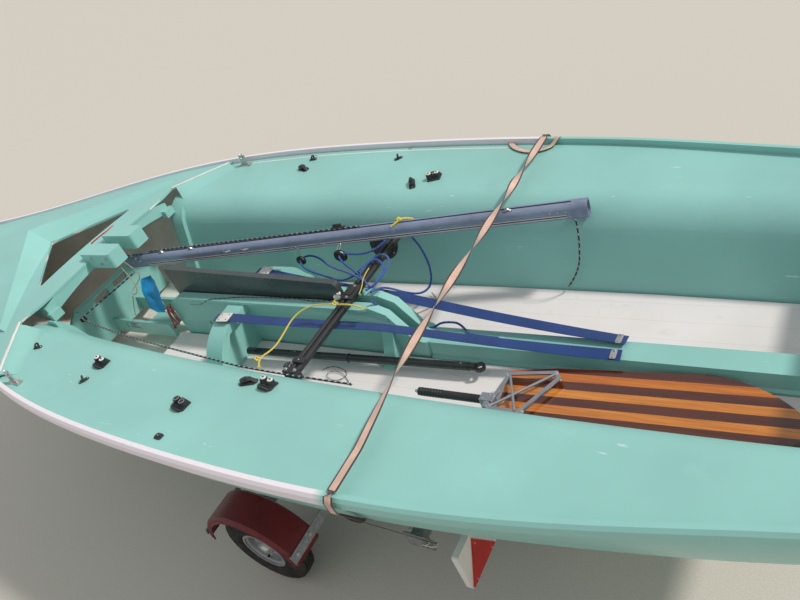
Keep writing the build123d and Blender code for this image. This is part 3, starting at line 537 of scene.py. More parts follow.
def lined_gelcoat(name, colour, bare, forward, gloss=0.42, middle=None):
    """Gelcoat, with bare laminate ahead of a line on faces that look down or in to the hull's middle."""
    recipe = aged_gelcoat(name, colour, gloss)
    glossy = recipe.tone()
    strands = recipe.noise(42.0, 7.0, source=recipe.stretched((1.0, 0.35, 1.0)), roughness=0.7)
    mottle = recipe.fit(recipe.noise(8.0, 5.0), 0.35, 0.7)
    # The laminate's colour is kept pale as painted light, standing in for light in the hull's shaded inside.
    raw = recipe.mix(mottle, lighter(bare, 0.88), lighter(bare, 1.05))
    raw = recipe.over(0.4, recipe.fit(strands, 0.52, 0.68), raw, lighter(bare, 1.1))
    geometry = recipe.node("NewGeometry")
    facing = recipe.axis("Z", geometry.outputs["True Normal"])
    if middle:
        where = recipe.node("VectorMath", {0: recipe.where, 1: (0.0, 0.0, middle)}, operation="SUBTRACT")
        out = recipe.node("VectorMath", {0: where.outputs[0], 1: (0.0, 1.0, 1.0)}, operation="MULTIPLY")
        facing = recipe.node("VectorMath", {0: geometry.outputs["True Normal"], 1: out.outputs[0]},
                             operation="DOT_PRODUCT").outputs["Value"]
    inner = recipe.math("LESS_THAN", facing, 0.0)
    ahead = recipe.math("GREATER_THAN", recipe.axis("X"), forward)
    recipe.colour(recipe.mix(recipe.math("MULTIPLY", inner, ahead), glossy, raw))
    return recipe


def strake_finish(name, colour, pale):
    """Painted white ahead of the tie-down strap and left in the hull's colour behind it."""
    recipe = aged_gelcoat(name, colour)
    tone = recipe.tone()
    ahead = recipe.fit(recipe.axis("X"), boat(PAINT_STARTS, 0, 0).x, boat(PAINT_FULL, 0, 0).x)
    wear = recipe.fit(recipe.noise(40.0, 7.0, roughness=0.75), 0.64, 0.68, 1.0, 0.35)
    chips = recipe.fit(recipe.noise(160.0, 5.0, roughness=0.7), 0.7, 0.74)
    paint = recipe.over(0.5, chips, pale, screen(150, 146, 142))
    recipe.colour(recipe.mix(recipe.math("MULTIPLY", ahead, wear), tone, paint))
    return recipe


def worn_white(name, colour, dirt):
    """White floor paint over planks, scrubbed thin in places, with specks of grit in patches."""
    recipe = Recipe(name, roughness=0.6)
    wear = recipe.fit(recipe.noise(9.0, 9.0, roughness=0.7), 0.6, 0.7)
    stains = recipe.fit(recipe.noise(2.4, 5.0), 0.5, 0.8)
    across = recipe.math("FRACT", recipe.math("MULTIPLY", recipe.axis("Y"), 11.0))
    seam = recipe.math("COMPARE", across, 0.5, 0.012)
    tone = recipe.over(0.3, stains, colour, dirt)
    tone = recipe.over(0.22, wear, tone, lighter(dirt, 0.8))
    tone = recipe.over(0.25, seam, tone, lighter(dirt, 0.9))
    tone = recipe.over(0.4, recipe.specks(200.0, 12.0, 0.5), tone, screen(104, 96, 84))
    recipe.colour(tone)
    recipe.bump(seam, 0.2, -0.001)
    recipe.bump(recipe.noise(240.0, 3.0), 0.15, 0.0006)
    return recipe


def striped_wood(name):
    """Laminated blade: wide pale and dark strips side by side, with grain along them under varnish."""
    recipe = Recipe(name, roughness=0.26, coat=0.7, coat_roughness=0.08)
    run = recipe.math("SUBTRACT", recipe.axis("X"), boat(BLADE_X, 0, 0).x)
    place = recipe.math("SUBTRACT", recipe.axis("Y"), recipe.math("MULTIPLY", run, BLADE_SLANT))
    strip = recipe.math("DIVIDE", recipe.math("SUBTRACT", place, BLADE_EDGE_Y), STRIP_WIDTH)
    which = recipe.math("FRACT", strip)
    edge = recipe.noise(30.0, 2.0, source=recipe.stretched((0.4, 1.0, 1.0)))
    wave = recipe.fit(edge, 0.3, 0.7, -0.01, 0.01)
    dark = recipe.fit(recipe.math("ADD", which, wave), 0.5, 0.51)
    seed = recipe.math("FLOOR", strip)
    fibres = recipe.stretched((2.0, 90.0, 90.0))
    grain = recipe.noise(3.0, 8.0, source=fibres, roughness=0.65)
    broad = recipe.noise(2.0, 4.0, source=recipe.stretched((1.2, 22.0, 22.0)))
    tint = recipe.math("FRACT", recipe.math("MULTIPLY", recipe.math("SINE", seed), 43.7))
    pale = recipe.mix(recipe.fit(broad, 0.35, 0.65), screen(214, 128, 36), screen(186, 96, 22))
    pale = recipe.over(0.35, tint, pale, screen(232, 158, 70))
    deep = recipe.mix(recipe.fit(broad, 0.35, 0.65), screen(66, 20, 8), screen(90, 38, 16))
    tone = recipe.mix(dark, pale, deep)
    tone = recipe.over(0.5, recipe.fit(grain, 0.4, 0.7), tone, screen(84, 40, 18))
    joint = recipe.math("COMPARE", which, 0.5, 0.008)
    recipe.colour(recipe.over(0.6, joint, tone, screen(40, 18, 10)))
    recipe.bump(grain, 0.08, 0.0005)
    return recipe


def scuffed_metal(name, colour, roughness, metallic=0.85):
    """Drawn metal with long scratches and dulled patches."""
    recipe = Recipe(name, roughness=roughness, metallic=metallic)
    scratches = recipe.noise(190.0, 6.0, source=recipe.stretched((0.03, 1.0, 1.0)))
    dull = recipe.fit(recipe.noise(8.0, 6.0, roughness=0.65), 0.4, 0.72)
    pits = recipe.fit(recipe.cells(300.0), 0.04, 0.08, 1.0, 0.0)
    tone = recipe.mix(dull, colour, lighter(colour, 0.75))
    marks = recipe.fit(scratches, 0.62, 0.7)
    tone = recipe.over(0.4, marks, tone, lighter(colour, 1.6))
    recipe.colour(recipe.over(0.15, pits, tone, lighter(colour, 0.3)))
    recipe.rough(recipe.fit(dull, 0.0, 1.0, roughness, roughness + 0.25))
    recipe.bump(scratches, 0.1, 0.0003)
    return recipe


def galvanised(name, colour):
    """Dipped zinc: grey crystals, dull, with white bloom and a little rust."""
    recipe = Recipe(name, roughness=0.5, metallic=0.7)
    crystals = recipe.cells(90.0, output="Color")
    shade = recipe.fit(recipe.axis("X", crystals), 0.0, 1.0, 0.82, 1.15)
    tone = recipe.node("VectorMath", {0: colour}, operation="SCALE")
    recipe.give(tone.inputs["Scale"], shade)
    bloom = recipe.fit(recipe.noise(12.0, 8.0, roughness=0.7), 0.5, 0.75)
    rust = recipe.fit(recipe.noise(23.0, 8.0, roughness=0.75), 0.66, 0.74)
    mixed = recipe.over(0.5, bloom, tone.outputs[0], screen(176, 180, 180))
    recipe.colour(recipe.over(0.6, rust, mixed, screen(112, 66, 40)))
    recipe.rough(recipe.fit(bloom, 0.0, 1.0, 0.42, 0.72))
    recipe.bump(recipe.noise(60.0, 5.0), 0.2, 0.0008)
    return recipe


def moulded(name, colour, roughness=0.4, grain=0.12, fade=None):
    """Moulded plastic with a fine grain, faded in patches, and scuffs."""
    recipe = Recipe(name, roughness=roughness)
    fade = fade or lighter(colour, 1.25)
    cloudy = recipe.fit(recipe.noise(7.0, 6.0), 0.38, 0.7)
    scuffs = recipe.fit(recipe.noise(60.0, 7.0, roughness=0.75), 0.66, 0.74)
    tone = recipe.over(0.5, cloudy, colour, fade)
    recipe.colour(recipe.over(0.35, scuffs, tone, lighter(fade, 1.6)))
    recipe.rough(recipe.fit(cloudy, 0.0, 1.0, roughness, roughness + 0.15))
    recipe.bump(recipe.noise(900.0, 2.0), grain, 0.0003)
    return recipe


def rubber(name, colour):
    """Dusty black rubber."""
    recipe = Recipe(name, roughness=0.82, specular=0.3)
    dust = recipe.fit(recipe.noise(11.0, 7.0, roughness=0.7), 0.42, 0.78)
    recipe.colour(recipe.over(0.4, dust, colour, screen(120, 112, 98)))
    recipe.bump(recipe.noise(420.0, 3.0), 0.25, 0.0004)
    return recipe


def woven(name, colour, edge=None, edge_at=0.0):
    """Flat webbing: a plain weave, fluffed threads and, where it has them, edges of another colour."""
    recipe = Recipe(name, roughness=0.85, sheen=0.3, specular=0.25)
    across = recipe.axis("Y", recipe.uv)
    length = recipe.axis("X", recipe.uv)
    warp = recipe.math("SINE", recipe.math("MULTIPLY", across, math.tau / THREAD_PITCH))
    weft = recipe.math("SINE", recipe.math("MULTIPLY", length, math.tau / THREAD_PITCH))
    weave = recipe.math("MULTIPLY", warp, weft)
    faded = recipe.fit(recipe.noise(12.0, 6.0), 0.4, 0.7)
    tone = recipe.mix(faded, lighter(colour, 0.85), lighter(colour, 1.15))
    if edge:
        outer = recipe.math("GREATER_THAN", recipe.math("ABSOLUTE", across), edge_at)
        tone = recipe.mix(outer, tone, edge)
    tone = recipe.mix(recipe.fit(weave, -1.0, 1.0, 0.0, 0.3), tone, lighter(colour, 0.45))
    recipe.colour(tone)
    recipe.bump(weave, 0.5, 0.0004)
    return recipe


def braided(name, colour, fleck, pitch, share):
    """Braided rope: strands crossed round the cord, with a fleck of another colour along it."""
    recipe = Recipe(name, roughness=0.8, sheen=0.25, specular=0.25)
    along = recipe.math("MULTIPLY", recipe.axis("X", recipe.uv), math.tau / pitch)
    round_it = recipe.math("MULTIPLY", recipe.axis("Y", recipe.uv), 3 * math.tau)
    left = recipe.math("SINE", recipe.math("ADD", along, round_it))
    right = recipe.math("SINE", recipe.math("SUBTRACT", along, round_it))
    braid = recipe.math("MAXIMUM", left, right)
    # Painted shade and highlight: the grooves between the strands are darkened and the strands' crowns
    # lightened.
    tone = recipe.mix(recipe.fit(braid, -0.4, 1.0), lighter(colour, 0.5), lighter(colour, 1.15))
    beat = recipe.math("SINE", recipe.math("MULTIPLY", along, 0.5))
    spots = recipe.math("MULTIPLY", recipe.fit(beat, share, share + 0.15), recipe.fit(left, -0.3, 0.2))
    recipe.colour(recipe.mix(spots, tone, fleck))
    recipe.bump(braid, 0.6, 0.0006)
    return recipe


def ripstop(name, colour):
    """Thin sailcloth with a square of heavier threads."""
    recipe = Recipe(name, roughness=0.6, sheen=0.2, specular=0.3)
    along = recipe.math("FRACT", recipe.math("MULTIPLY", recipe.axis("X", recipe.uv), CLOTH_SQUARES))
    across = recipe.math("FRACT", recipe.math("MULTIPLY", recipe.axis("Y", recipe.uv), CLOTH_SQUARES))
    ribs = recipe.math("MAXIMUM", recipe.math("LESS_THAN", along, RIB_SHARE),
                       recipe.math("LESS_THAN", across, RIB_SHARE))
    creases = recipe.fit(recipe.noise(22.0, 5.0), 0.45, 0.65)
    # Painted light and shade follow the creases: darker in their hollows, lighter on their ridges.
    tone = recipe.mix(creases, lighter(colour, 0.85), lighter(colour, 1.2))
    recipe.colour(recipe.over(0.25, ribs, tone, lighter(colour, 1.5)))
    recipe.bump(creases, 0.3, 0.002)
    recipe.bump(ribs, 0.2, 0.0003)
    return recipe


def colour_setting(name, description, *colour):
    """Setting of a colour, given as a screen colour."""
    return FloatVectorProperty(name=name, description=description, subtype="COLOR", size=3, min=0, max=1,
                               default=screen(*colour))


def length_setting(name, description, usual, least, most):
    """Setting of a width or a diameter in metres."""
    return FloatProperty(name=name, description=description, unit="LENGTH", default=usual, min=least,
                         max=most)


class LookSettings(bpy.types.PropertyGroup):
    """Colours of the paints, the laminate, the mudguards and the boom."""

    mint: colour_setting("Mint gelcoat", "Decks, tanks and hull", 142, 196, 188)
    # Bare laminate is set paler than the laminate is, as painted light for the hull's shaded inside.
    bare: colour_setting("Bare laminate", "Unpainted insides of the hull", 236, 231, 222)
    floor: colour_setting("Floor paint", "Cockpit floor and bilge", 228, 222, 220)
    stripe: colour_setting("Strake white", "Rubbing strake ahead of the strap", 232, 224, 230)
    guard: colour_setting("Mudguard red", "Both mudguards", 96, 10, 18)
    boom: colour_setting("Boom blue-grey", "Anodising of the boom", 150, 160, 184)


class RiggingSettings(bpy.types.PropertyGroup):
    """Sizes of the ropes and the webbing."""

    sheet: length_setting("Mainsheet", "Diameter of the blue rope", 0.0095, 0.004, 0.012)
    control: length_setting("Control line", "Diameter of the thin ropes", 0.0045, 0.003, 0.008)
    strap: length_setting("Tie-down strap", "Width of the strap over the boat", 0.033, 0.02, 0.06)
    toe: length_setting("Toe strap", "Width of the two straps in the cockpit", 0.046, 0.02, 0.06)


class WheelSettings(bpy.types.PropertyGroup):
    """Tread and studs of the road wheels."""

    blocks: IntProperty(name="Tread blocks", description="Blocks round the tyre", default=64, min=24, max=120)
    studs: IntProperty(name="Studs", description="Nuts on each wheel", default=5, min=3, max=6)


class StageSettings(bpy.types.PropertyGroup):
    """Camera, light and floor."""

    lens: FloatProperty(name="Lens", description="Focal length on a 36 mm sensor", unit="CAMERA",
                        default=32.52, min=10, max=200)
    sun: FloatProperty(name="Sun", description="Strength of the key light", default=2.6, min=0, max=10)
    sky: FloatProperty(name="Sky", description="Strength of the plain sky", default=0.55, min=0, max=5)
    floor: colour_setting("Floor", "Colour of the plain floor", 206, 199, 188)


def finish_table(looks):
    """Every material slot of the record, and the special finishes, with their recipes."""
    mint = tuple(looks.mint)
    # bare is the laminate's colour, kept pale as painted light for the shaded insides.
    bare = tuple(looks.bare)
    rows = (
        (aged_gelcoat, "mint_gelcoat", mint),
        (lined_gelcoat, "deck_gelcoat", mint, bare, boat(DECK_BARE_X, 0, 0).x),
        (lined_gelcoat, "hull_gelcoat", lighter(mint, 0.96), bare, boat(HULL_BARE_X, 0, 0).x, 0.34,
         HULL_MIDDLE_Z),
        (strake_finish, "strake_paint", mint, tuple(looks.stripe)),
        (worn_white, "white_paint", tuple(looks.floor), screen(176, 166, 156)),
        (striped_wood, "wood_striped"),
        (scuffed_metal, "anodised", tuple(looks.boom), 0.5, 0.55),
        (scuffed_metal, "bare_aluminium", screen(168, 172, 180), 0.4),
        (scuffed_metal, "stainless", screen(200, 200, 198), 0.25),
        (moulded, "black_gloss", screen(30, 32, 34), 0.22, 0.04, screen(58, 62, 64)),
        (moulded, "board_gloss", screen(60, 66, 66), 0.18, 0.03, screen(76, 82, 82)),
        (moulded, "black_matte", screen(36, 37, 40), 0.5, 0.2, screen(74, 74, 76)),
        (moulded, "white_plastic", screen(226, 222, 216), 0.4, 0.08, screen(200, 192, 182)),
        (woven, "navy_webbing", screen(26, 60, 122)),
        (woven, "strap_webbing", screen(226, 190, 172), screen(28, 26, 28), 0.0112),
        (galvanised, "galvanised", screen(150, 153, 154)),
        (moulded, "red_plastic", tuple(looks.guard), 0.38, 0.15, screen(134, 40, 46)),
        (moulded, "red_lens", screen(178, 20, 16), 0.15, 0.02, screen(200, 40, 30)),
        (rubber, "rubber_black", screen(36, 36, 37)),
        (rubber, "tyre_black", screen(30, 30, 31)),
        (scuffed_metal, "rim_paint", screen(186, 188, 190), 0.4),
        (moulded, "plate_blank", screen(232, 230, 222), 0.35, 0.03),
        (braided, "rope_blue", screen(48, 86, 158), screen(84, 120, 186), 0.010, 0.7),
        (braided, "rope_pale", screen(206, 188, 168), screen(150, 120, 96), 0.007, 0.5),
        (braided, "rope_dark", screen(34, 34, 40), screen(190, 190, 192), 0.014, 0.45),
        (braided, "rope_yellow", screen(226, 200, 70), screen(244, 228, 150), 0.006, 0.4),
        (braided, "rope_red", screen(184, 30, 38), screen(222, 140, 130), 0.007, 0.3),
        (ripstop, "azure_cloth", screen(24, 142, 200)),
        (aged_gelcoat, "raw_laminate", bare, 0.6),
    )
    return {row[1]: row[0](*row[1:]) for row in rows}


SPECIAL = {
    "hull_shell": "hull_gelcoat", "foredeck": "deck_gelcoat", "strake_port": "strake_paint",
    "strake_starboard": "strake_paint", "centreboard": "board_gloss", "boom_ends": "anodised",
    "traveller_ends": "black_matte",
}


class DINGHY_OT_finishes(bpy.types.Operator):
    """Gives every CAD piece the finish of its material slot"""

    bl_idname = "dinghy.finishes"
    bl_label = "Finishes"

    def execute(self, context):
        for name, recipe in finish_table(context.scene.dinghy_looks).items():
            FINISHES[name] = recipe.material
        for part in FRAME["record"]["subparts"]:
            materials = NODES[part["node"]].data.materials
            materials.clear()
            materials.append(FINISHES[SPECIAL.get(part["node"], part["material_slot"])])
        return {"FINISHED"}


CAMERA_SPOT = (-0.0189, 1.6775, 1.9348)
CAMERA_RIGHT = (-0.820, -0.453, -0.350)
CAMERA_DOWN = (-0.044, 0.660, -0.750)
CAMERA_FORWARD = (0.570, -0.600, -0.561)
SENSOR_WIDTH = 36.0
CLIP_END = 2000.0
SUN_WAY = (0.9, 0.4, -1.0)
SUN_DEGREES = 6
SUN_COLOUR = (1.0, 0.97, 0.92)
SKY_COLOUR = (0.93, 0.96, 1.0, 1.0)
FLOOR_HALF = 400.0


class DINGHY_OT_stage(bpy.types.Operator):
    """Sets the camera where the picture was taken, with a plain floor and a soft sun from astern"""

    bl_idname = "dinghy.stage"
    bl_label = "Stage"

    def execute(self, context):
        scene = context.scene
        look = scene.dinghy_stage
        data = bpy.data.cameras.new("camera")
        data.lens = look.lens
        data.sensor_width = SENSOR_WIDTH
        data.clip_end = CLIP_END
        camera = bpy.data.objects.new("camera", data)
        scene.collection.objects.link(camera)
        axes = Matrix((CAMERA_RIGHT, [-part for part in CAMERA_DOWN], [-part for part in CAMERA_FORWARD]))
        camera.matrix_world = Matrix.Translation(boat(*CAMERA_SPOT)) @ axes.transposed().to_4x4()
        scene.camera = camera

        sun = bpy.data.lights.new("sun", "SUN")
        sun.energy = look.sun
        sun.angle = math.radians(SUN_DEGREES)
        sun.color = SUN_COLOUR
        lamp = bpy.data.objects.new("sun", sun)
        scene.collection.objects.link(lamp)
        lamp.rotation_euler = Vector(SUN_WAY).to_track_quat("-Z", "Y").to_euler()

        world = bpy.data.worlds.new("sky")
        world.use_nodes = True
        shade = world.node_tree.nodes["Background"]
        shade.inputs["Color"].default_value = SKY_COLOUR
        shade.inputs["Strength"].default_value = look.sky
        scene.world = world

        mesh = bpy.data.meshes.new("floor")
        shape = bmesh.new()
        bmesh.ops.create_grid(shape, x_segments=2, y_segments=2, size=FLOOR_HALF)
        shape.to_mesh(mesh)
        shape.free()
        floor = bpy.data.objects.new("floor", mesh)
        scene.collection.objects.link(floor)
        recipe = Recipe("floor", roughness=0.9, specular=0.2)
        speckle = recipe.fit(recipe.noise(150.0, 4.0, roughness=0.7), 0.35, 0.7)
        recipe.colour(recipe.mix(speckle, lighter(tuple(look.floor), 0.9), lighter(tuple(look.floor), 1.08)))
        mesh.materials.append(recipe.material)
        scene.view_settings.view_transform = "Standard"
        return {"FINISHED"}


# Rope routes: control points in the boat's frame, picked off the picture
SHEET_ROUTES = {
    "mainsheet_fall": [
        (1.669, -0.323, 0.425), (1.653, -0.321, 0.4), (1.643, -0.324, 0.34), (1.64, -0.323, 0.27),
        (1.641, -0.302, 0.215), (1.64, -0.258, 0.197), (1.674, -0.224, 0.196), (1.742, -0.217, 0.21),
        (1.727, -0.139, 0.3), (1.709, -0.064, 0.37), (1.701, 0.001, 0.4)],
    "mainsheet_loops": [
        (1.999, -0.209, 0.405), (1.976, -0.193, 0.385), (1.914, -0.166, 0.375), (1.827, -0.111, 0.385),
        (1.749, -0.046, 0.4), (1.705, -0.018, 0.405), (1.682, -0.05, 0.42), (1.678, -0.106, 0.425),
        (1.697, -0.169, 0.42), (1.745, -0.22, 0.41), (1.797, -0.239, 0.4), (1.825, -0.211, 0.395),
        (1.846, -0.163, 0.39), (1.903, -0.145, 0.352), (1.965, -0.127, 0.34), (2.06, -0.156, 0.335),
        (2.132, -0.163, 0.35), (2.179, -0.164, 0.37), (2.223, -0.187, 0.385), (2.228, -0.224, 0.39),
        (2.205, -0.252, 0.38), (2.157, -0.249, 0.365), (2.081, -0.205, 0.362), (1.986, -0.15, 0.39),
        (1.887, -0.107, 0.408), (1.809, -0.075, 0.412), (1.766, -0.06, 0.4)],
    "mainsheet_inner": [
        (1.732, -0.01, 0.4), (1.718, -0.048, 0.392), (1.716, -0.104, 0.394), (1.731, -0.161, 0.393),
        (1.774, -0.198, 0.4), (1.809, -0.2, 0.405), (1.829, -0.15, 0.402), (1.827, -0.112, 0.402)],
    "mainsheet_block_end": [
        (2.005, -0.231, 0.41), (1.951, -0.231, 0.405), (1.898, -0.238, 0.4), (1.839, -0.246, 0.41),
        (1.799, -0.262, 0.425), (1.773, -0.283, 0.44)],
    "mainsheet_tail": [
        (1.692, 0.035, 0.384), (1.682, 0.019, 0.355), (1.679, 0.006, 0.3), (1.689, -0.017, 0.24),
        (1.68, -0.031, 0.2), (1.615, -0.031, 0.196), (1.54, -0.026, 0.196), (1.5, -0.03, 0.196),
        (1.487, -0.061, 0.196), (1.452, -0.076, 0.19), (1.408, -0.068, 0.196), (1.362, -0.038, 0.196),
        (1.337, -0.012, 0.196), (1.283, -0.007, 0.196), (1.206, -0.004, 0.196)],
}
# Name, slot, thickness against the control lines', knots, far end, route
LINE_ROUTES = [
    ("yellow_line", "rope_yellow", 1.5, 2, "knot", [
        (1.703, 0.075, 0.38), (1.735, 0.076, 0.4), (1.828, 0.088, 0.405), (1.946, 0.091, 0.4),
        (2.022, 0.14, 0.38), (2.034, 0.236, 0.35), (2.001, 0.325, 0.37), (1.976, 0.43, 0.42),
        (1.93, 0.468, 0.424)]),
    ("cream_tail", "rope_pale", 1.3, 0, "object", [
        (1.725, -0.158, 0.124), (1.7, -0.174, 0.124), (1.678, -0.188, 0.124), (1.638, -0.229, 0.124),
        (1.63, -0.276, 0.126), (1.672, -0.304, 0.135)]),
    ("cream_loop", "rope_pale", 1.1, 0, "object", [
        (3.135, 0.045, 0.584), (3.14, 0.02, 0.52), (3.147, -0.008, 0.44), (3.184, 0.013, 0.4),
        (3.221, 0.043, 0.375), (3.205, 0.066, 0.36), (3.162, 0.059, 0.37), (3.15, 0.045, 0.42),
        (3.155, 0.05, 0.5), (3.16, 0.055, 0.584)]),
    ("cream_downhaul", "rope_pale", 1.1, 0, "bare", [
        (3.2, 0.07, 0.36), (3.254, 0.08, 0.28), (3.307, 0.074, 0.2), (3.292, 0.073, 0.15),
        (3.221, 0.069, 0.126)]),
    ("board_line", "rope_dark", 0.9, 0, "object", [
        (2.762, 0.078, 0.34), (2.692, 0.09, 0.345), (2.648, 0.09, 0.36), (2.621, 0.062, 0.366),
        (2.544, 0.053, 0.364), (2.448, 0.035, 0.364), (2.314, 0.03, 0.364), (2.163, 0.026, 0.364),
        (2.096, 0.024, 0.364), (2.05, 0.03, 0.364), (1.992, 0.034, 0.364), (1.952, 0.028, 0.364),
        (1.904, 0.024, 0.364), (1.842, 0.026, 0.364)]),
    ("boom_end_line", "rope_dark", 1.5, 0, "bare", [
        (0.992, -0.43, 0.43), (0.98, -0.4, 0.38), (0.984, -0.37, 0.3), (1.006, -0.378, 0.23),
        (1.041, -0.37, 0.17), (1.065, -0.374, 0.14)]),
    ("mast_red_line", "rope_red", 1.6, 1, "knot", [
        (2.955, 0.062, 0.31), (2.966, 0.066, 0.27), (2.974, 0.068, 0.225), (2.966, 0.07, 0.2),
        (2.95, 0.07, 0.22), (2.946, 0.07, 0.262), (2.951, 0.071, 0.3), (2.966, 0.073, 0.308),
        (2.979, 0.076, 0.28), (2.986, 0.077, 0.235), (2.979, 0.078, 0.2), (2.963, 0.079, 0.188),
        (2.948, 0.08, 0.207), (2.943, 0.081, 0.25), (2.95, 0.083, 0.292), (2.964, 0.085, 0.298),
        (2.975, 0.087, 0.265), (2.982, 0.088, 0.215), (2.994, 0.09, 0.175)]),
    ("beam_red_line", "rope_red", 1.6, 0, "object", [
        (3.33, 0.02, 0.655), (3.312, -0.003, 0.662), (3.3, -0.038, 0.666), (3.291, -0.071, 0.667),
        (3.303, -0.112, 0.662), (3.32, -0.13, 0.655)]),
    ("port_tangle", "rope_dark", 0.6, 0, "bare", [
        (1.968, 0.195, 0.124), (1.943, 0.169, 0.124), (1.886, 0.172, 0.124), (1.84, 0.19, 0.124),
        (1.828, 0.215, 0.124), (1.856, 0.245, 0.124), (1.911, 0.24, 0.126), (1.93, 0.215, 0.13),
        (1.9, 0.195, 0.13), (1.85, 0.205, 0.126), (1.81, 0.23, 0.124), (1.79, 0.25, 0.124)]),
    ("grey_cord_upper", "rope_dark", 0.9, 0, "bare", [
        (2.53, 0.25, 0.124), (2.55, 0.29, 0.124), (2.6, 0.312, 0.124), (2.66, 0.3, 0.124),
        (2.69, 0.27, 0.124), (2.66, 0.245, 0.124)]),
    ("grey_cord_lower", "rope_pale", 0.9, 0, "bare", [
        (2.617, 0.181, 0.126), (2.657, 0.152, 0.126), (2.634, 0.138, 0.126), (2.594, 0.15, 0.126),
        (2.553, 0.171, 0.126), (2.485, 0.219, 0.126)]),
    ("board_lashing", "rope_red", 1.7, 0, "object", [
        (2.646, -0.018, 0.46), (2.68, -0.02, 0.44), (2.712, -0.022, 0.41), (2.761, -0.02, 0.38),
        (2.804, -0.028, 0.368)]),
]
TAUT_LINES = [
    ("spring_line", "rope_dark", 1.7, [
        (3.147, 0.012, 0.47), (3.225, 0.151, 0.44), (3.29, 0.285, 0.42), (3.297, 0.306, 0.415),
        (3.27, 0.322, 0.415), (2.78, 0.4, 0.417), (2.22, 0.454, 0.418), (2.038, 0.474, 0.418),
        (1.72, 0.476, 0.41), (1.497, 0.476, 0.41)]),
    ("boom_top_line", "rope_dark", 1.6, [
        (3.104, -0.093, 0.52), (2.494, -0.205, 0.507), (1.93, -0.3, 0.499), (1.903, -0.306, 0.497)]),
    ("cheek_line_left", "rope_dark", 1.1, [
        (3.228, -0.035, 0.61), (3.176, -0.012, 0.575), (3.12, -0.01, 0.545), (3.07, -0.012, 0.515)]),
    ("cheek_line_right", "rope_pale", 1.1, [
        (3.17, -0.098, 0.65), (3.172, -0.042, 0.59), (3.149, -0.02, 0.55), (3.12, -0.02, 0.52)]),
    ("olive_line", "rope_yellow", 0.9, [
        (1.775, -0.122, 0.42), (1.783, -0.076, 0.41), (1.759, -0.021, 0.4), (1.758, 0.01, 0.395)]),
]
COIL_CENTRE = (1.85, -0.25, 0.126)
COIL_RADII = (0.05, 0.038)
COIL_STEPS = 40
COIL_TURN = 13


class DINGHY_OT_ropes(bpy.types.Operator):
    """Lays the mainsheet, the control lines and the small coils where they were left"""

    bl_idname = "dinghy.ropes"
    bl_label = "Ropes"

    def execute(self, context):
        sizes = context.scene.dinghy_rigging
        for name, places in SHEET_ROUTES.items():
            rope(name, places, sizes.sheet, "rope_blue")
        for name, slot, thick, knots, far_end, places in LINE_ROUTES:
            rope(name, places, sizes.control * thick, slot, knots=knots)
        for name, slot, thick, places in TAUT_LINES:
            line(name, places, sizes.control * thick, slot)
        self.coil(sizes.control * 1.3)
        self.tied_ends()
        return {"FINISHED"}

    def coil(self, thick):
        """Small loose coil on the floor, its turns of differing size beside and over each other."""
        x, y, z = COIL_CENTRE
        places = []
        for step in range(COIL_STEPS):
            angle = math.tau * step / COIL_TURN
            size = 1.0 - 0.006 * step + 0.07 * math.sin(step * 0.7)
            places.append((x + COIL_RADII[0] * size * math.cos(angle) + 0.0012 * step,
                           y + COIL_RADII[1] * size * math.sin(angle), z + 0.0062 * (step // COIL_TURN)))
        rope("cream_coil", places, thick, "rope_pale")

    def tied_ends(self):
        """Knots of the yellow line with its tail on the boom, and the one at the spring line's end."""
        shape = Shape()
        knot(shape, boat(1.713, -0.342, 0.503), 0.015, UP)
        knot(shape, boat(1.828, 0.084, 0.408), 0.014, AHEAD)
        knot(shape, boat(1.974, 0.428, 0.424), 0.013, AHEAD)
        shape.wire(route([(1.74, -0.31, 0.49), (1.713, -0.33, 0.502), (1.70, -0.36, 0.5),
                          (1.68, -0.39, 0.47)]), 0.0045)
        piece("yellow_knots", shape, "rope_yellow")
        shape = Shape()
        knot(shape, boat(1.497, 0.476, 0.41), 0.007, AHEAD)
        piece("spring_knot", shape, "rope_dark")


FLAP_PLACES = [(3.19, -0.015, 0.4), (3.143, -0.048, 0.4), (3.081, -0.012, 0.38), (3.042, 0.029, 0.33),
               (3.038, 0.06, 0.25), (3.105, 0.065, 0.25), (3.15, 0.06, 0.27), (3.176, 0.033, 0.32),
               (3.186, 0.013, 0.37)]
OFFCUT_PLACES = [(2.687, 0.172, 0.123), (2.63, 0.168, 0.123), (2.571, 0.176, 0.123), (2.583, 0.198, 0.123),
                 (2.602, 0.226, 0.123), (2.64, 0.224, 0.123), (2.678, 0.218, 0.123)]


def cloth(name, outline, crease):
    """Small sheet of cloth filled between the points of its edge, subdivided and creased."""
    shape = Shape()
    centre = sum(outline, Vector()) / len(outline)
    edge = [shape.mesh.verts.new(point) for point in outline]
    middle = shape.mesh.verts.new(centre)
    for start, end in zip(edge, edge[1:] + edge[:1]):
        shape.mesh.faces.new((start, end, middle))
    bmesh.ops.subdivide_edges(shape.mesh, edges=shape.mesh.edges[:], cuts=5, use_grid_fill=True)
    bmesh.ops.triangulate(shape.mesh, faces=shape.mesh.faces[:])
    shape.mesh.normal_update()
    normal = sum((face.normal * face.calc_area() for face in shape.mesh.faces), Vector()).normalized()
    side = normal.orthogonal().normalized()
    other = normal.cross(side)
    area = sum(face.calc_area() for face in shape.mesh.faces)
    for vert in shape.mesh.verts:
        away = vert.co - centre
        along, over = away.dot(side), away.dot(other)
        wave = math.sin(along * 90 + 2 * math.sin(over * 40)) + 0.5 * math.sin(over * 130)
        vert.co += normal * crease * wave
    for face in shape.mesh.faces:
        for loop in face.loops:
            away = loop.vert.co - centre
            loop[shape.uv].uv = (away.dot(side), away.dot(other))
    bmesh.ops.solidify(shape.mesh, geom=shape.mesh.faces[:], thickness=CLOTH_THICK)
    obj = piece(name, shape, "azure_cloth", crease=80)


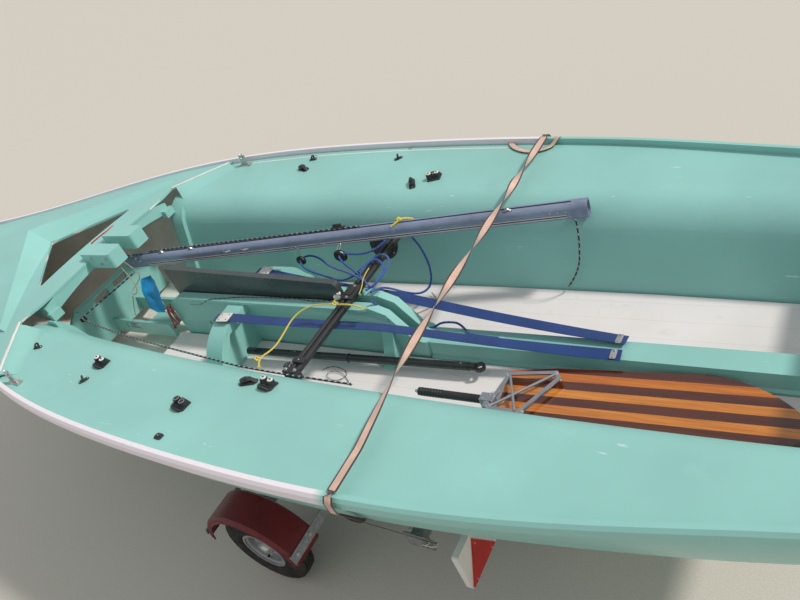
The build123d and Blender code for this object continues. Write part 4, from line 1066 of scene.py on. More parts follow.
class DINGHY_OT_cloths(bpy.types.Operator):
    """Hangs the azure flap under the mast beam and lays its offcut on the floor"""

    bl_idname = "dinghy.cloths"
    bl_label = "Cloths"

    def execute(self, context):
        cloth("azure_flap", route(FLAP_PLACES), 0.0025)
        cloth("azure_offcut", route(OFFCUT_PLACES), 0.0012)
        return {"FINISHED"}


# Place across the boat from port to starboard, turn of the webbing in degrees
STRAP_TWIST = [
    (0.945, 0), (0.80, 2), (0.65, 10), (0.55, 32), (0.47, 63), (0.31, 153), (0.143, 243),
    (-0.01, 333), (-0.17, 423), (-0.32, 513), (-0.47, 603), (-0.585, 693), (-0.70, 783), (-0.82, 860),
    (-0.945, 900)]
STRAP_PLACES = [(1.214, 0.945), (1.245, 0.7), (1.272, 0.47), (1.283, 0.143), (1.279, -0.2), (1.277, -0.475),
                (1.279, -0.682), (1.276, -0.85), (1.274, -0.945)]
STRAP_TOP = 0.503
STRAP_EDGE = 0.945
STRAP_CORNER = 0.94
STRAP_STEPS = 80
STRAP_LONGEST = 0.03
SLACK_PLACES = [(1.215, -0.925), (1.233, -0.897), (1.262, -0.874), (1.3, -0.862), (1.34, -0.864),
                (1.38, -0.88), (1.415, -0.902), (1.44, -0.935)]
STRAP_DROP = [(0.957, 0.487), (0.956, 0.445), (0.93, 0.39), (0.705, -0.085)]


def between(table, value):
    """Straight between the rows of a table whose first column falls."""
    for high, low in zip(table, table[1:]):
        if value >= low[0]:
            part = (value - low[0]) / (high[0] - low[0])
            return low[1] + part * (high[1] - low[1])
    return table[-1][1]


class DINGHY_OT_webbing(bpy.types.Operator):
    """Makes the twisted tie-down strap with its hooks, its loose loop, and the two toe straps"""

    bl_idname = "dinghy.webbing"
    bl_label = "Webbing"

    def execute(self, context):
        sizes = context.scene.dinghy_rigging
        self.tie_down(sizes.strap)
        self.loose_loop(sizes.strap * 0.8)
        self.toe_straps(sizes.toe)
        return {"FINISHED"}

    def tie_down(self, width):
        points, ups = [], []
        x_port = STRAP_PLACES[0][0] + 0.022
        x_starboard = STRAP_PLACES[-1][0]
        for y, z in reversed(STRAP_DROP):
            points.append(boat(x_port, y, z))
        for step in range(STRAP_STEPS + 1):
            y = STRAP_EDGE - 2 * STRAP_EDGE * step / STRAP_STEPS
            x = between([(across, ahead) for ahead, across in STRAP_PLACES], y)
            if y > 0.6:
                x = max(x, x_port)
            points.append(boat(x, y, STRAP_TOP))
        for y, z in STRAP_DROP:
            points.append(boat(x_starboard, -y, z))
        fine = self.fill(points)
        for index, point in enumerate(fine):
            way = (fine[min(index + 1, len(fine) - 1)] - fine[max(index - 1, 0)]).normalized()
            base = AHEAD.cross(way).normalized()
            if base.z <= 0 and abs(point.y) <= STRAP_CORNER:
                base = -base
            turn = 0.0
            if point.y < -STRAP_CORNER:
                turn = math.pi
            elif point.y < STRAP_EDGE:
                turn = math.radians(between(STRAP_TWIST, point.y))
            ups.append(base * math.cos(turn) + way.cross(base) * -math.sin(turn))
        section, across = flat_section(width, 0.0026)
        shape = Shape()
        shape.sweep(frames_along(fine, ups), section, across)
        piece("tie_down_webbing", shape, "strap_webbing", replaces=("tie_down_strap",), crease=60)
        self.hooks(x_port, x_starboard)

    def fill(self, points):
        """The same line with its long runs divided."""
        fine = [points[0]]
        for point in points[1:]:
            count = max(1, int((point - fine[-1]).length / STRAP_LONGEST))
            start = fine[-1]
            fine += [start.lerp(point, step / count) for step in range(1, count + 1)]
        return fine

    def hooks(self, x_port, x_starboard):
        """Wire hooks that join the strap's ends to the cross member, each with a short bar where the strap's
        end is held.
        """
        metal = Shape()
        for x, side in ((x_port, 1), (x_starboard, -1)):
            lead = boat(x, side * 0.708, -0.078)
            hold = boat(1.296, side * 0.706, -0.1)
            for reach in (-0.017, 0.017):
                start = lead + Vector((reach, 0, 0.004))
                metal.wire([start, start + Vector((0, side * 0.004, -0.02)),
                            hold + Vector((reach * 0.4, side * 0.006, -0.012)),
                            hold + Vector((reach * 0.3, -side * 0.004, -0.05)),
                            hold + Vector((reach * 0.3, -side * 0.02, -0.058))], 0.003)
            bar = stand(lead + Vector((-0.022, 0, 0.004)), UP, AHEAD)
            metal.rod(0.0032, 0.044, bar, segments=10, bevel=0.0006)
        piece("strap_hooks", metal, "stainless")

    def loose_loop(self, width):
        """Slack of the strap's tail, lying over the starboard deck with both ends over its edge."""
        lying = [below(x, y, TANKS)[0] + UP * 0.006 for x, y in SLACK_PLACES]
        ends = []
        for x, y in ((1.212, -0.9425), (1.445, -0.9605)):
            ends.append([boat(x, y, 0.488), boat(x, y, 0.45), boat(x, y + 0.02, 0.395)])
        controls = ends[0][::-1] + lying + ends[1]
        fine = smooth_line(controls)
        ups = []
        for point in fine:
            side = min(1.0, max(0.0, (-point.y - 0.935) / 0.02))
            ups.append((UP * (1 - side) - PORT * side + Vector((0.001, 0, 0))).normalized())
        section, across = flat_section(width, 0.002)
        shape = Shape()
        shape.sweep(frames_along(fine, ups), section, across)
        piece("strap_slack", shape, "strap_webbing", crease=60)

    def toe_straps(self, width):
        webbing, plates, metal = Shape(), Shape(), Shape()
        section, across = flat_section(width, 0.003)
        for _, side in SIDES:
            places = [(2.496, side * 0.163, 0.3515), (2.44, side * 0.158, 0.352), (2.38, side * 0.153, 0.349),
                      (2.2, side * 0.137, 0.331), (1.9, side * 0.112, 0.3125), (1.7, side * 0.095, 0.303),
                      (1.62, side * 0.088, 0.297), (1.3, side * 0.068, 0.254), (1.0, side * 0.051, 0.2225),
                      (0.8, side * 0.04, 0.207), (0.735, side * 0.036, 0.203)]
            fine = smooth_line(route(places))
            lean = [side * 0.12 * math.sin(index * 0.13) for index in range(len(fine))]
            ups = [(UP + PORT * part).normalized() for part in lean]
            webbing.sweep(frames_along(fine, ups), section, across)
            for x in (2.462, 2.418):
                at = stand(boat(x, side * (0.15 + 0.085 * (x - 2.3)), 0.3545), AHEAD + PORT * side * 0.08)
                screws(metal, at, ((0.0, -0.016, 0.0025), (0.0, 0.016, 0.0025)), 0.0042)
            at = stand(boat(2.44, side * 0.1615, 0.3535), AHEAD + PORT * side * 0.08)
            plates.slab(rounded(0.07, 0.056, 0.008), 0.003, at, 0.0008)
            at = stand(boat(0.76, side * 0.037, 0.2065), AHEAD + PORT * side * 0.05)
            metal.slab(rounded(0.022, 0.044, 0.006), 0.002, at, 0.0006)
            screws(metal, at, ((0.0, -0.015, 0.003), (0.0, 0.015, 0.003)), 0.004)
        piece("toe_webbing", webbing, "navy_webbing", replaces=("toe_straps",), crease=60)
        piece("toe_strap_plates", plates, "white_plastic")
        piece("toe_strap_screws", metal, "stainless")


# Kind, place in the boat's frame, turn in degrees
FITTINGS = {
    "port": [("eye", 3.095, 0.628, 20), ("cleat", 2.627, 0.636, 82), ("eye", 2.626, 0.738, 60),
             ("cam", 2.05, 0.74, 78), ("pad", 2.022, 0.886, 0), ("cheek", 1.854, 0.585, 25),
             ("cleat", 1.764, 0.58, 82)],
    "starboard": [("cheek", 2.542, -0.777, -20), ("eye", 2.533, -0.862, 0), ("eye", 1.997, -0.85, 40),
                  ("slim", 1.817, -0.645, -60), ("cleat", 1.723, -0.69, -70)],
}
CLEAT_BASE = [(-0.024, -0.028), (0.018, -0.036), (0.032, -0.024), (0.032, 0.024), (0.018, 0.036),
              (-0.024, 0.028)]
CLEAT_LEAD = [(0.022, -0.026, 0.004), (0.029, -0.024, 0.012), (0.032, 0.0, 0.015), (0.029, 0.024, 0.012),
              (0.022, 0.026, 0.004)]
COVER_ARM = [(-0.03, 0, 0.004), (-0.018, 0, 0.012), (0.0, 0, 0.02), (0.012, 0, 0.021)]


def cam_cleat(dark, caps, metal, at, capped=True):
    """Two toothed cams on a stepped base, with a low lead in front."""
    dark.slab(CLEAT_BASE, 0.007, at, 0.0018)
    dark.slab(rounded(0.034, 0.06, 0.008), 0.004, at @ shift(x=0.002, z=0.007), 0.001)
    for side in (1, -1):
        post = at @ shift(0.0, side * 0.0185, 0.011)
        dark.slab(toothed(0.0145, 11, 0.0018), 0.014, post)
        dark.rod(0.0125, 0.0025, post @ shift(z=0.014), segments=20, bevel=0.0006)
        if capped:
            caps.rod(0.011, 0.004, post @ shift(z=0.0165), top=0.0098, segments=24, bevel=0.001)
            dark.rod(0.0042, 0.0016, post @ shift(z=0.0203), segments=12, bevel=0.0004)
        else:
            metal.ring(0.0105, 0.0011, post @ shift(z=0.0166), 20, 6)
    lead = smooth_line([at @ Vector(place) for place in CLEAT_LEAD])
    dark.strip(lead, UP, rounded(0.008, 0.005, 0.002))


def bullseye(dark, metal, at):
    """Round lead on a plate with a stainless liner."""
    dark.slab(rounded(0.044, 0.022, 0.010), 0.004, at, 0.0012)
    stem = at @ shift(z=0.012) @ turned(78, "Y")
    dark.ring(0.0105, 0.0042, stem)
    metal.ring(0.0082, 0.0016, stem, 20, 6)
    screws(metal, at, ((-0.0165, 0, 0.004), (0.0165, 0, 0.004)), 0.003)


def sheave(dark, pale, metal, at, size):
    """Two cheeks with a grooved wheel between them and a pin through."""
    for level in (0.0, 0.0125 * size):
        outline = rounded(0.05 * size, 0.036 * size, 0.0175 * size, 6)
        dark.slab(outline, 0.0026 * size, at @ shift(z=level), 0.0008 * size)
    groove = [(0.004, 0.0), (0.0155, 0.0), (0.0155, 0.0018), (0.012, 0.0045), (0.0155, 0.0072),
              (0.0155, 0.009), (0.004, 0.009), (0.004, 0.0)]
    pale.lathe([(radius * size, height * size) for radius, height in groove], at @ shift(z=0.0031 * size), 28)
    metal.rod(0.0035 * size, 0.0172 * size, at @ shift(z=-0.001 * size), segments=14, bevel=0.0005 * size)


def cheek_block(dark, metal, at):
    """Sheave that lies on the deck under a bent cover."""
    dark.slab(rounded(0.07, 0.036, 0.014), 0.004, at, 0.0012)
    sheave(dark, dark, metal, at @ shift(0.008, 0, 0.0035), 0.9)
    arm = [at @ Vector(place) for place in COVER_ARM]
    dark.sweep(frames_along(smooth_line(arm)), rounded(0.016, 0.004, 0.0015))
    screws(metal, at, ((-0.029, 0, 0.004), (0.031, 0, 0.004)), 0.003)


class DINGHY_OT_fittings(bpy.types.Operator):
    """Builds the cleats, leads and blocks of both side decks, and the hatch cover"""

    bl_idname = "dinghy.fittings"
    bl_label = "Deck fittings"

    def execute(self, context):
        for name, rows in FITTINGS.items():
            self.deck_side(name, rows)
        self.hatch()
        self.shrouds()
        self.traveller()
        return {"FINISHED"}

    def deck_side(self, name, rows):
        dark, caps, metal = Shape(), Shape(), Shape()
        for kind, x, y, turn in rows:
            at = seat(x, y, turn) @ shift(z=-0.001)
            if kind in ("cleat", "cam"):
                cam_cleat(dark, caps, metal, at, kind == "cleat")
            elif kind == "slim":
                dark.slab(rounded(0.075, 0.03, 0.008), 0.006, at, 0.002)
                dark.slab(rounded(0.052, 0.02, 0.006), 0.016, at @ shift(z=0.005), 0.003)
                dark.slab(rounded(0.03, 0.012, 0.004), 0.008, at @ shift(x=0.006, z=0.02), 0.002)
                screws(metal, at, ((-0.032, 0, 0.006), (0.032, 0, 0.006)), 0.003)
            elif kind == "eye":
                bullseye(dark, metal, at)
            elif kind == "cheek":
                cheek_block(dark, metal, at)
            else:
                dark.slab(rounded(0.034, 0.026, 0.008), 0.006, at, 0.002)
                dark.slab(rounded(0.024, 0.016, 0.006), 0.004, at @ shift(z=0.006), 0.0015)
                screw(metal, at @ shift(z=0.010), 0.003)
        piece(f"deck_cleats_{name}", dark, "black_matte", replaces=(f"deck_fittings_{name}",))
        piece(f"cleat_caps_{name}", caps, "white_plastic")
        piece(f"cleat_screws_{name}", metal, "stainless")

    def hatch(self):
        """Round screw-in cover with a ribbed rim, in a flange held by six screws."""
        spot, normal, _, _ = surface("side_tank_starboard").ray_cast(boat(1.94, 0, 0.3), -PORT)
        normal = normal if normal.y > 0 else -normal
        at = stand(spot - normal * 0.001, AHEAD, normal)
        dark, metal = Shape(), Shape()
        dark.lathe([(0.0, 0.0), (0.077, 0.0), (0.078, 0.002), (0.074, 0.005), (0.060, 0.006), (0.059, 0.004),
                    (0.056, 0.004), (0.056, 0.0085), (0.053, 0.0105), (0.046, 0.0105), (0.044, 0.0085),
                    (0.012, 0.008), (0.0, 0.008)], at, 48)
        for index in range(24):
            rib = at @ turned(index * 15, "Z") @ shift(0.0555, 0, 0.0068)
            dark.box((0.003, 0.004, 0.004), rib, 0.0005)
        dark.slab(rounded(0.076, 0.014, 0.006), 0.004, at @ turned(35, "Z") @ shift(z=0.0078), 0.0015)
        for index in range(6):
            screw(metal, at @ turned(index * 60 + 20, "Z") @ shift(0.067, 0, 0.0052), 0.0034)
        piece("hatch_cover", dark, "black_matte", replaces=("inspection_hatch",))
        piece("hatch_screws", metal, "stainless")

    def shrouds(self):
        """Bolts of the shroud plates, and a shackle left on each."""
        metal = Shape()
        for _, side in SIDES:
            hole = boat(SHROUD_X, side * SHROUD_Y, SHROUD_HOLE_Z)
            metal.rod(0.0032, 0.026, stand(hole - PORT * 0.013, AHEAD, PORT), segments=12, bevel=0.0006)
            bow = [hole + Vector(place) for place in (
                (0, 0.0075, 0), (0, 0.008, 0.011), (0.002, 0.0065, 0.02), (0.003, 0.0, 0.024),
                (0.002, -0.0065, 0.02), (0, -0.008, 0.011), (0, -0.0075, 0))]
            metal.wire(bow, 0.002)
            for x in (-0.032, 0.032):
                foot, _ = below(SHROUD_X + x, side * SHROUD_Y, TANKS + ("shroud_plates",))
                screw(metal, stand(foot), 0.004)
        piece("shroud_shackles", metal, "stainless")

    def traveller(self):
        """Car on the two bars, with its control blocks, stops and end bolts."""
        dark, pale, metal = Shape(), Shape(), Shape()
        car = stand(boat(TRAVELLER_X, -0.005, TRAVELLER_TOP))
        dark.slab(rounded(0.062, 0.09, 0.008), 0.006, car, 0.0015)
        dark.slab(rounded(0.03, 0.05, 0.006), 0.005, car @ shift(z=0.006), 0.0015)
        pale.box((0.03, 0.026, 0.02), stand(boat(1.875, 0.012, 0.3785), AHEAD + PORT * 0.4), 0.004)
        pale.box((0.016, 0.016, 0.012), stand(boat(1.862, 0.012, 0.394), AHEAD + PORT * 0.4), 0.003)
        for y in (-0.034, 0.034):
            nut(metal, car @ shift(y=y, z=0.006), 0.005, 0.004)
        for _, side in SIDES:
            stop = stand(boat(TRAVELLER_X, side * 0.385, TRAVELLER_TOP))
            dark.slab(rounded(0.056, 0.028, 0.006), 0.008, stop, 0.002)
            screw(metal, stop @ shift(z=0.008), 0.004)
            for x in (-0.022, 0.022):
                nut(metal, stand(boat(TRAVELLER_X + x, side * 0.44, 0.3985)), 0.0055, 0.005)
            sheave(dark, pale, metal, stand(boat(1.86, side * 0.405, 0.372), AHEAD, UP + AHEAD * 0.3), 0.75)
        piece("traveller_car", dark, "black_matte")
        piece("traveller_wheels", pale, "white_plastic")
        piece("traveller_bolts", metal, "stainless")


BOOM_FORE = Vector((3.220, -0.062, 0.482))
BOOM_AFT = Vector((0.950, -0.474, 0.445))


def on_boom(x, side=0.0, up=1.0):
    """Point on the boom's skin at a place along the boat, towards its side or its top, with the way out."""
    part = (x - BOOM_FORE.x) / (BOOM_AFT.x - BOOM_FORE.x)
    centre = BOOM_FORE.lerp(BOOM_AFT, part)
    way = (BOOM_FORE - BOOM_AFT).normalized()
    across = UP.cross(way).normalized()
    out = (across * side + way.cross(across) * up).normalized()
    start = boat(*(centre + out * 0.2))
    return surface("boom_tube").ray_cast(start, -out)[0], out, way


class DINGHY_OT_boom(bpy.types.Operator):
    """Adds the boom's eyestraps, rivets, sail groove and blocks, and the spare pole's rivets and ring"""

    bl_idname = "dinghy.boom"
    bl_label = "Boom fittings"

    def execute(self, context):
        dark, pale, metal = Shape(), Shape(), Shape()
        for x, side, up in ((3.01, 0.2, 1.0), (2.824, 0.2, 1.0), (2.605, 0.9, 0.35), (2.502, 0.9, 0.35),
                            (2.237, 0.9, -0.2), (2.087, 0.9, -0.2), (1.905, 0.1, 1.0), (1.25, 0.3, 1.0)):
            self.eyestrap(metal, x, side, up)
        for x in (1.03, 1.06, 1.09, 3.20, 3.17, 3.14):
            for side in (0.95, -0.95):
                spot, out, way = on_boom(x, side, 0.3)
                foot = stand(spot - out * 0.0004, way, out)
                metal.rod(0.0034, 0.0022, foot, top=0.002, segments=12, bevel=0.0004)
        self.hanging_blocks(dark, pale, metal)
        self.groove(dark, pale)
        top, out, way = on_boom(1.905, 0.1, 1.0)
        sheave(dark, pale, metal, stand(top + out * 0.011, way, UP.cross(way)) @ shift(z=-0.0085), 0.7)
        side_block, out, way = on_boom(2.01, -0.45, 0.9)
        low = stand(side_block - out * 0.002, way, out)
        dark.slab(rounded(0.066, 0.03, 0.012), 0.012, low, 0.003)
        dark.slab(rounded(0.04, 0.026, 0.012), 0.014, low @ shift(x=0.006, z=0.01), 0.004)
        self.pole_parts(dark, metal)
        # boom_blocks also holds the groove's dark strip of painted shade.
        piece("boom_blocks", dark, "black_gloss")
        piece("boom_block_wheels", pale, "white_plastic")
        piece("boom_straps_and_rivets", metal, "stainless")
        return {"FINISHED"}

    def eyestrap(self, metal, x, side, up):
        """Bent strip with two screws, standing off the boom in a low arch."""
        spot, out, way = on_boom(x, side, up)
        arch = [spot + way * along + out * rise for along, rise in (
            (-0.021, 0.0008), (-0.013, 0.001), (-0.008, 0.008), (0.0, 0.013), (0.008, 0.008), (0.013, 0.001),
            (0.021, 0.0008))]
        metal.strip(smooth_line(arch), out, rounded(0.008, 0.0016, 0.0006))
        for along in (-0.0175, 0.0175):
            screw(metal, stand(spot + way * along + out * 0.0014, way, out), 0.0028)

    def groove(self, dark, pale):
        """Sail groove along the boom's lower side: a dark strip standing in for the groove's shaded slot,
        between two low lips.
        """
        # The dark strip is painted shade: the slot itself is only dark because light does not reach into it.
        for up, shape, wide, high in ((-0.35, dark, 0.008, 0.0012), (-0.19, pale, 0.0035, 0.003),
                                      (-0.51, pale, 0.0035, 0.003)):
            spine, ups = [], []
            for step in range(27):
                spot, out, _ = on_boom(3.11 - 0.08 * step, 0.95, up)
                spine.append(spot)
                ups.append(out)
            shape.sweep(frames_along(spine, ups), rounded(wide, high, high * 0.4))

    def hanging_blocks(self, dark, pale, metal):
        """Mainsheet's blocks under the boom and beside it, each in its shackle."""
        for x, y, z, size in ((1.999, -0.222, 0.402, 1.25), (2.221, -0.2, 0.39, 0.95)):
            spot = boat(x, y, z)
            at = stand(spot, AHEAD * 0.8 + UP * 0.4, PORT + UP * 0.35)
            sheave(dark, pale, metal, at @ shift(z=-0.0078 * size), size)
            head, out, _ = on_boom(x, 0.9, -0.2)
            grip = spot + UP * 0.024 * size - PORT * 0.004
            metal.wire([grip - AHEAD * 0.006, grip.lerp(head, 0.6) - AHEAD * 0.008, head + out * 0.008,
                        grip.lerp(head, 0.6) + AHEAD * 0.008, grip + AHEAD * 0.006], 0.0022)

    def pole_parts(self, dark, metal):
        """Trip line eyes and rivets of the spare pole."""
        for part in (0.25, 0.5, 0.75, 0.97):
            x, y = (fore + (aft - fore) * part for fore, aft in zip(POLE_FORE, POLE_AFT))
            spot = boat(x, y, POLE_TOP)
            at = stand(spot, AHEAD + PORT * 0.045)
            metal.rod(0.0032, 0.002, at @ shift(z=-0.0004), top=0.002, segments=12, bevel=0.0004)
        ring_at = stand(boat(1.83, 0.153, 0.170), UP, AHEAD + PORT * 0.045)
        dark.ring(0.0172, 0.002, ring_at, 28, 8)


SEAM_PLACES = [(3.105, 0.82), (3.115, 0.8), (3.135, 0.772), (3.16, 0.739), (3.2, 0.681), (3.25, 0.609),
               (3.297, 0.541)]
GUNWALE_PLACES = [(3.04, -0.825), (2.8, -0.86), (2.5, -0.895), (2.2, -0.912), (1.9, -0.918), (1.6, -0.912),
                  (1.45, -0.905)]


class DINGHY_OT_hull_parts(bpy.types.Operator):
    """Adds the seam fairings and beads, the gunwale line, beam bolts, a small block and the rudder's bolts"""

    bl_idname = "dinghy.hull_parts"
    bl_label = "Hull parts"

    def execute(self, context):
        pale, metal, dark = Shape(), Shape(), Shape()
        self.fairings()
        self.seams(pale, metal)
        self.cheeks(metal, dark)
        self.rudder(metal, dark)
        piece("seam_beads", pale, "white_plastic")
        piece("hull_bolts", metal, "stainless")
        piece("hull_trim", dark, "black_gloss")
        return {"FINISHED"}

    def fairings(self):
        """Smooth rise from each tank's top to the foredeck's edge, along their joint."""
        green = Shape()
        for _, side in SIDES:
            spine, rings = [], []
            for (x, y), (next_x, next_y) in zip(SEAM_PLACES, SEAM_PLACES[1:]):
                way = Vector((next_x - x, side * (next_y - y), 0)).normalized()
                out = Vector((abs(way.y), side * way.x, 0))
                for part in (0.0, 0.25, 0.5, 0.75):
                    here = Vector((x + (next_x - x) * part, side * (y + (next_y - y) * part), 0))
                    ahead, astern = here + out * 0.012, here - out * 0.085
                    high = below(ahead.x, ahead.y, ("foredeck",))[0] - out * 0.007 + UP * 0.0006
                    low = below(astern.x, astern.y, TANKS[:2])[0] + UP * 0.0003
                    steps = [index / 6 for index in range(7)]
                    top = [low.lerp(high, step) for step in steps]
                    for step, point in zip(steps, top):
                        point.z = low.z + (high.z - low.z) * step * step * (3 - 2 * step)
                    under = [point - UP * (0.003 + 0.004 * step) for step, point in zip(steps, top)]
                    rings.append(top + under[::-1])
                    spine.append(high)
            green.skin(rings, spine)
        piece("seam_fairings", green, "mint_gelcoat", crease=50)

    def lying(self, places, names, lift):
        return [below(x, y, names)[0] + UP * lift for x, y in places]

    def seams(self, pale, metal):
        """Sealant in the joint of foredeck and side tanks, and the line along the starboard gunwale."""
        for _, side in SIDES:
            beside = [(x + 0.006, side * (y + 0.004)) for x, y in SEAM_PLACES]
            lying = self.lying(beside, ("foredeck",), 0.0006)
            fine = smooth_line(lying)
            for step, point in enumerate(fine):
                point.x += 0.0014 * math.sin(step * 0.9) + 0.001 * math.sin(step * 2.3)
            section = [(y * 0.0085, z * 0.003) for y, z in circle(1.0, 8)]
            pale.strip(fine, UP, section)
            for x, y in ((3.02, 0.835), (3.11, 0.7)):
                foot, normal = below(x, side * y, TANKS)
                screw(metal, stand(foot, AHEAD, normal), 0.0045)
        section = [(y * 0.004, z * 0.0012) for y, z in circle(1.0, 8)]
        pale.strip(smooth_line(self.lying(GUNWALE_PLACES, TANKS, 0.0)), UP, section)
        for x, y in ((2.533, -0.885), (1.969, -0.935)):
            foot, normal = below(x, y, TANKS)
            metal.ring(0.009, 0.002, stand(foot + normal * 0.0015, AHEAD, normal), 20, 6)

    def cheeks(self, metal, dark):
        """Bolts through the mast's cheeks and the beam, and a small block at the port ring frame."""
        for _, side in SIDES:
            for x, z in ((3.10, 0.64), (3.16, 0.61), (3.22, 0.64)):
                hit = surface("mast_gate_beam").ray_cast(boat(x, side * 0.4, z), -PORT * side)[0]
                if hit and abs(hit.y) < 0.2:
                    nut(metal, stand(hit, AHEAD, PORT * side), 0.0065, 0.005)
        sheave(dark, dark, metal, stand(boat(3.297, 0.306, 0.405), AHEAD, UP) @ shift(z=-0.006), 0.8)

    def rudder(self, metal, dark):
        """Bolts of the rudder's frame and the loose joint at the tiller's end."""
        for x, y in ((1.114, 0.325), (1.101, 0.172), (0.928, 0.139), (0.985, 0.325)):
            nut(metal, stand(boat(x, y, 0.1995)), 0.0065, 0.005)
        for x, y in ((1.12, 0.276), (1.14, 0.296)):
            screw(metal, stand(boat(x, y, 0.207)), 0.004)
        way = Vector(TILLER_WAY).normalized()
        grip = boat(1.3, 0.2992, 0.2024)
        for step in range(8):
            at = stand(grip + way * 0.011 * step, UP, way)
            dark.ring(0.0152, 0.0012, at, 20, 6)
        end = boat(1.392, 0.3062, 0.2102)
        metal.rod(0.0075, 0.012, stand(end, UP, way), top=0.006, segments=18, bevel=0.001)


class DINGHY_OT_wheels(bpy.types.Operator):
    """Builds the tyres with their tread, the studs, hub caps and valves"""

    bl_idname = "dinghy.wheels"
    bl_label = "Wheels"

    def execute(self, context):
        sizes = context.scene.dinghy_wheels
        for name, side in SIDES:
            hub = stand(boat(AXLE_X, side * HUB_Y, HUB_Z), AHEAD, PORT * side)
            body = f"wheel_{name}"
            self.tyre(name, hub, body, sizes.blocks)
            self.studs(name, hub, body, sizes.studs)
        return {"FINISHED"}

    def tyre(self, name, hub, body, blocks):
        """Carcass with three grooves, sidewall rings and a row of blocks on each rib."""
        ring = TYRE_HALF + [(radius, -height) for radius, height in reversed(TYRE_HALF)]
        shape = Shape()
        shape.lathe(ring + ring[:1], hub, blocks)
        shape.mesh.normal_update()
        centre = hub.translation
        axis = hub.to_3x3() @ UP
        ribs = []
        for face in shape.mesh.faces:
            away = face.calc_center_median() - centre
            radial = (away - axis * away.dot(axis)).length
            if radial > RIB_RADIUS:
                ribs.append(face)
        bmesh.ops.recalc_face_normals(shape.mesh, faces=shape.mesh.faces[:])
        bmesh.ops.inset_individual(shape.mesh, faces=ribs, thickness=0.0014, depth=0.0018,
                                   use_even_offset=True)
        piece(f"tyre_tread_{name}", shape, "tyre_black", body, (f"tyre_{name}",), crease=30)

    def studs(self, name, hub, body, count):
        metal, dark = Shape(), Shape()
        for index in range(count):
            at = hub @ turned(360 / count * index + 18, "Z") @ shift(0.05, 0, 0.0125)
            metal.rod(0.0115, 0.004, at, top=0.009, segments=20, bevel=0.0006)
            metal.rod(0.0085, 0.012, at @ shift(z=0.003), segments=6, bevel=0.001)
        metal.lathe([(0.0, 0.044), (0.008, 0.0435), (0.017, 0.040), (0.0225, 0.034), (0.0235, 0.0295),
                     (0.026, 0.0293), (0.026, 0.0275), (0.0, 0.0275)], hub, 36)
        for index in range(2):
            metal.box((0.012, 0.003, 0.002), hub @ turned(90 * index, "Z") @ shift(z=0.0438), 0.0004)
        stem = hub @ turned(70, "Z") @ shift(0.083, 0, 0.006) @ turned(-25, "Y")
        dark.rod(0.0045, 0.022, stem, top=0.0035, segments=14, bevel=0.0006)
        dark.rod(0.005, 0.008, stem @ shift(z=0.022), top=0.0042, segments=10, bevel=0.0006)
        piece(f"wheel_nuts_{name}", metal, "stainless", body)
        piece(f"tyre_valve_{name}", dark, "rubber_black", body)


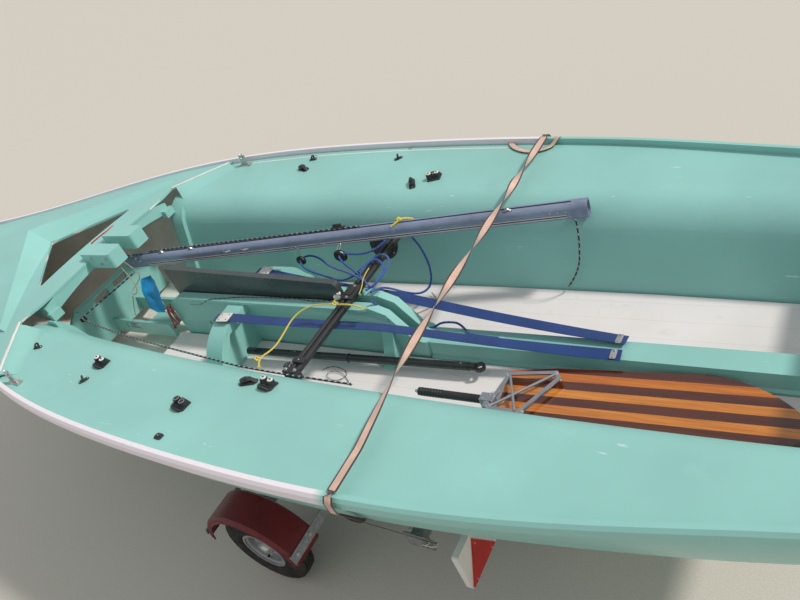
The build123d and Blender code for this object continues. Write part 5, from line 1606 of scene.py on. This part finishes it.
class DINGHY_OT_trailer(bpy.types.Operator):
    """Adds the trailer's bolts, lamps, plate screws, cable and the ribs of the bilge rollers"""

    bl_idname = "dinghy.trailer"
    bl_label = "Trailer parts"

    def execute(self, context):
        metal, dark, lamp, back = Shape(), Shape(), Shape(), Shape()
        self.guards(metal)
        self.lamps(metal, dark, lamp, back)
        self.frame_bolts(metal)
        self.rollers(dark)
        piece("trailer_bolts", metal, "stainless")
        piece("trailer_rubber", dark, "rubber_black")
        piece("lamp_lenses", lamp, "red_lens", replaces=("tail_lamps",))
        piece("lamp_bodies", back, "black_matte")
        return {"FINISHED"}

    def guards(self, metal):
        """Two bolts through each stay into the guard."""
        for _, side in SIDES:
            for ahead in (1, -1):
                tilt = GUARD_TILT if ahead > 0 else math.pi - GUARD_TILT
                out = Vector((math.cos(tilt), 0, math.sin(tilt)))
                for y in (0.725, 0.815):
                    spot = boat(AXLE_X, side * y, HUB_Z) + out * GUARD_RADIUS
                    nut(metal, stand(spot, PORT, out), 0.0065, 0.006)

    def lamps(self, metal, dark, lamp, back):
        """Lamp bodies with ribbed lenses, plate screws and the lamp board's cable."""
        for _, side in SIDES:
            at = stand(boat(1.09, side * 0.44, LAMP_Z), PORT, -AHEAD)
            back.slab(rounded(0.198, 0.094, 0.012), 0.014, at, 0.002)
            lamp.slab(rounded(0.19, 0.086, 0.010), 0.02, at @ shift(z=0.014), 0.004)
            for index in range(11):
                lamp.box((0.0025, 0.07, 0.0016), at @ shift(-0.085 + 0.017 * index, 0, 0.0344), 0.0005)
            screws(metal, at, ((-0.03, 0, 0.0338), (0.03, 0, 0.0338)), 0.004)
            for y, z in ((REFLECTOR_Y + 0.06, -0.172), (REFLECTOR_Y - 0.06, -0.172), (REFLECTOR_Y, -0.055)):
                screw(metal, stand(boat(1.0838, side * y, z), PORT, -AHEAD), 0.003)
            for x, y in ((1.0868, 0.235), (1.0898, 0.6)):
                screw(metal, stand(boat(x, side * y, LAMP_Z), PORT, -AHEAD), 0.0045)
            clip = boat(1.1145, side * 0.55, -0.08)
            bends = ((0, 0, 0), (0.02, 0, 0.01), (0.035, -side * 0.05, 0.0), (0.02, -side * 0.1, -0.03),
                     (0.003, -side * 0.1, -0.04))
            dark.wire([clip + Vector(bend) for bend in bends], 0.0035)

    def frame_bolts(self, metal):
        """Nuts of the U-bolts over the rails at the cross member and the axle, and of the bolts of the
        coupling and post.
        """
        for _, side in SIDES:
            for x in (1.33, 2.25):
                for ahead in (-0.035, 0.035):
                    start = boat(x + ahead, side * 0.6, -0.23)
                    self.side_nut(metal, "trailer_chassis", start, side, 0.0085, 0.008)
        for node, x, z in (("coupling_head", 5.3, -0.2), ("coupling_head", 5.36, -0.2),
                           ("bow_post", 5.17, -0.14), ("bow_post", 5.17, -0.05)):
            for _, side in SIDES:
                self.side_nut(metal, node, boat(x, side * 0.2, z), side, 0.008, 0.007)

    def side_nut(self, metal, node, start, side, radius, height):
        """Nut on the face that a line across the boat from a start meets first, if it meets one."""
        hit = surface(node).ray_cast(start, -PORT * side)[0]
        if hit:
            nut(metal, stand(hit, AHEAD, PORT * side), radius, height)

    def rollers(self, dark):
        """Moulded ribs round the bilge rollers."""
        for x, y, z, radius in BILGE_ROLLERS:
            for _, side in SIDES:
                for out in (-0.012, 0.0, 0.012):
                    at = stand(boat(x, side * (y + out), z), AHEAD, PORT)
                    dark.ring(radius - 0.0006, 0.0016, at, 40, 6)


class DINGHY_PT_panel(bpy.types.Panel):
    """Lists the settings and the steps"""

    bl_idname = "DINGHY_PT_panel"
    bl_label = "Dinghy"
    bl_space_type = "VIEW_3D"
    bl_region_type = "UI"
    bl_category = "Dinghy"

    def draw(self, context):
        scene = context.scene
        for group in (scene.dinghy_looks, scene.dinghy_rigging, scene.dinghy_wheels, scene.dinghy_stage):
            for name in group.bl_rna.properties.keys():
                if name not in ("rna_type", "name"):
                    self.layout.prop(group, name)
        for step in STEPS:
            self.layout.operator(step.bl_idname)


STEPS = (DINGHY_OT_stage, DINGHY_OT_finishes, DINGHY_OT_ropes, DINGHY_OT_cloths, DINGHY_OT_webbing,
         DINGHY_OT_fittings, DINGHY_OT_boom, DINGHY_OT_hull_parts, DINGHY_OT_wheels, DINGHY_OT_trailer)
SETTINGS = {"dinghy_looks": LookSettings, "dinghy_rigging": RiggingSettings, "dinghy_wheels": WheelSettings,
            "dinghy_stage": StageSettings}
CLASSES = (*SETTINGS.values(), *STEPS, DINGHY_PT_panel)


def register():
    for cls in CLASSES:
        bpy.utils.register_class(cls)
    for name, cls in SETTINGS.items():
        setattr(bpy.types.Scene, name, PointerProperty(type=cls))


def unregister():
    for name in SETTINGS:
        delattr(bpy.types.Scene, name)
    for cls in reversed(CLASSES):
        bpy.utils.unregister_class(cls)


def main():
    register()
    for step in STEPS:
        group, name = step.bl_idname.split(".")
        getattr(getattr(bpy.ops, group), name)()


if __name__ == "__main__":
    main()
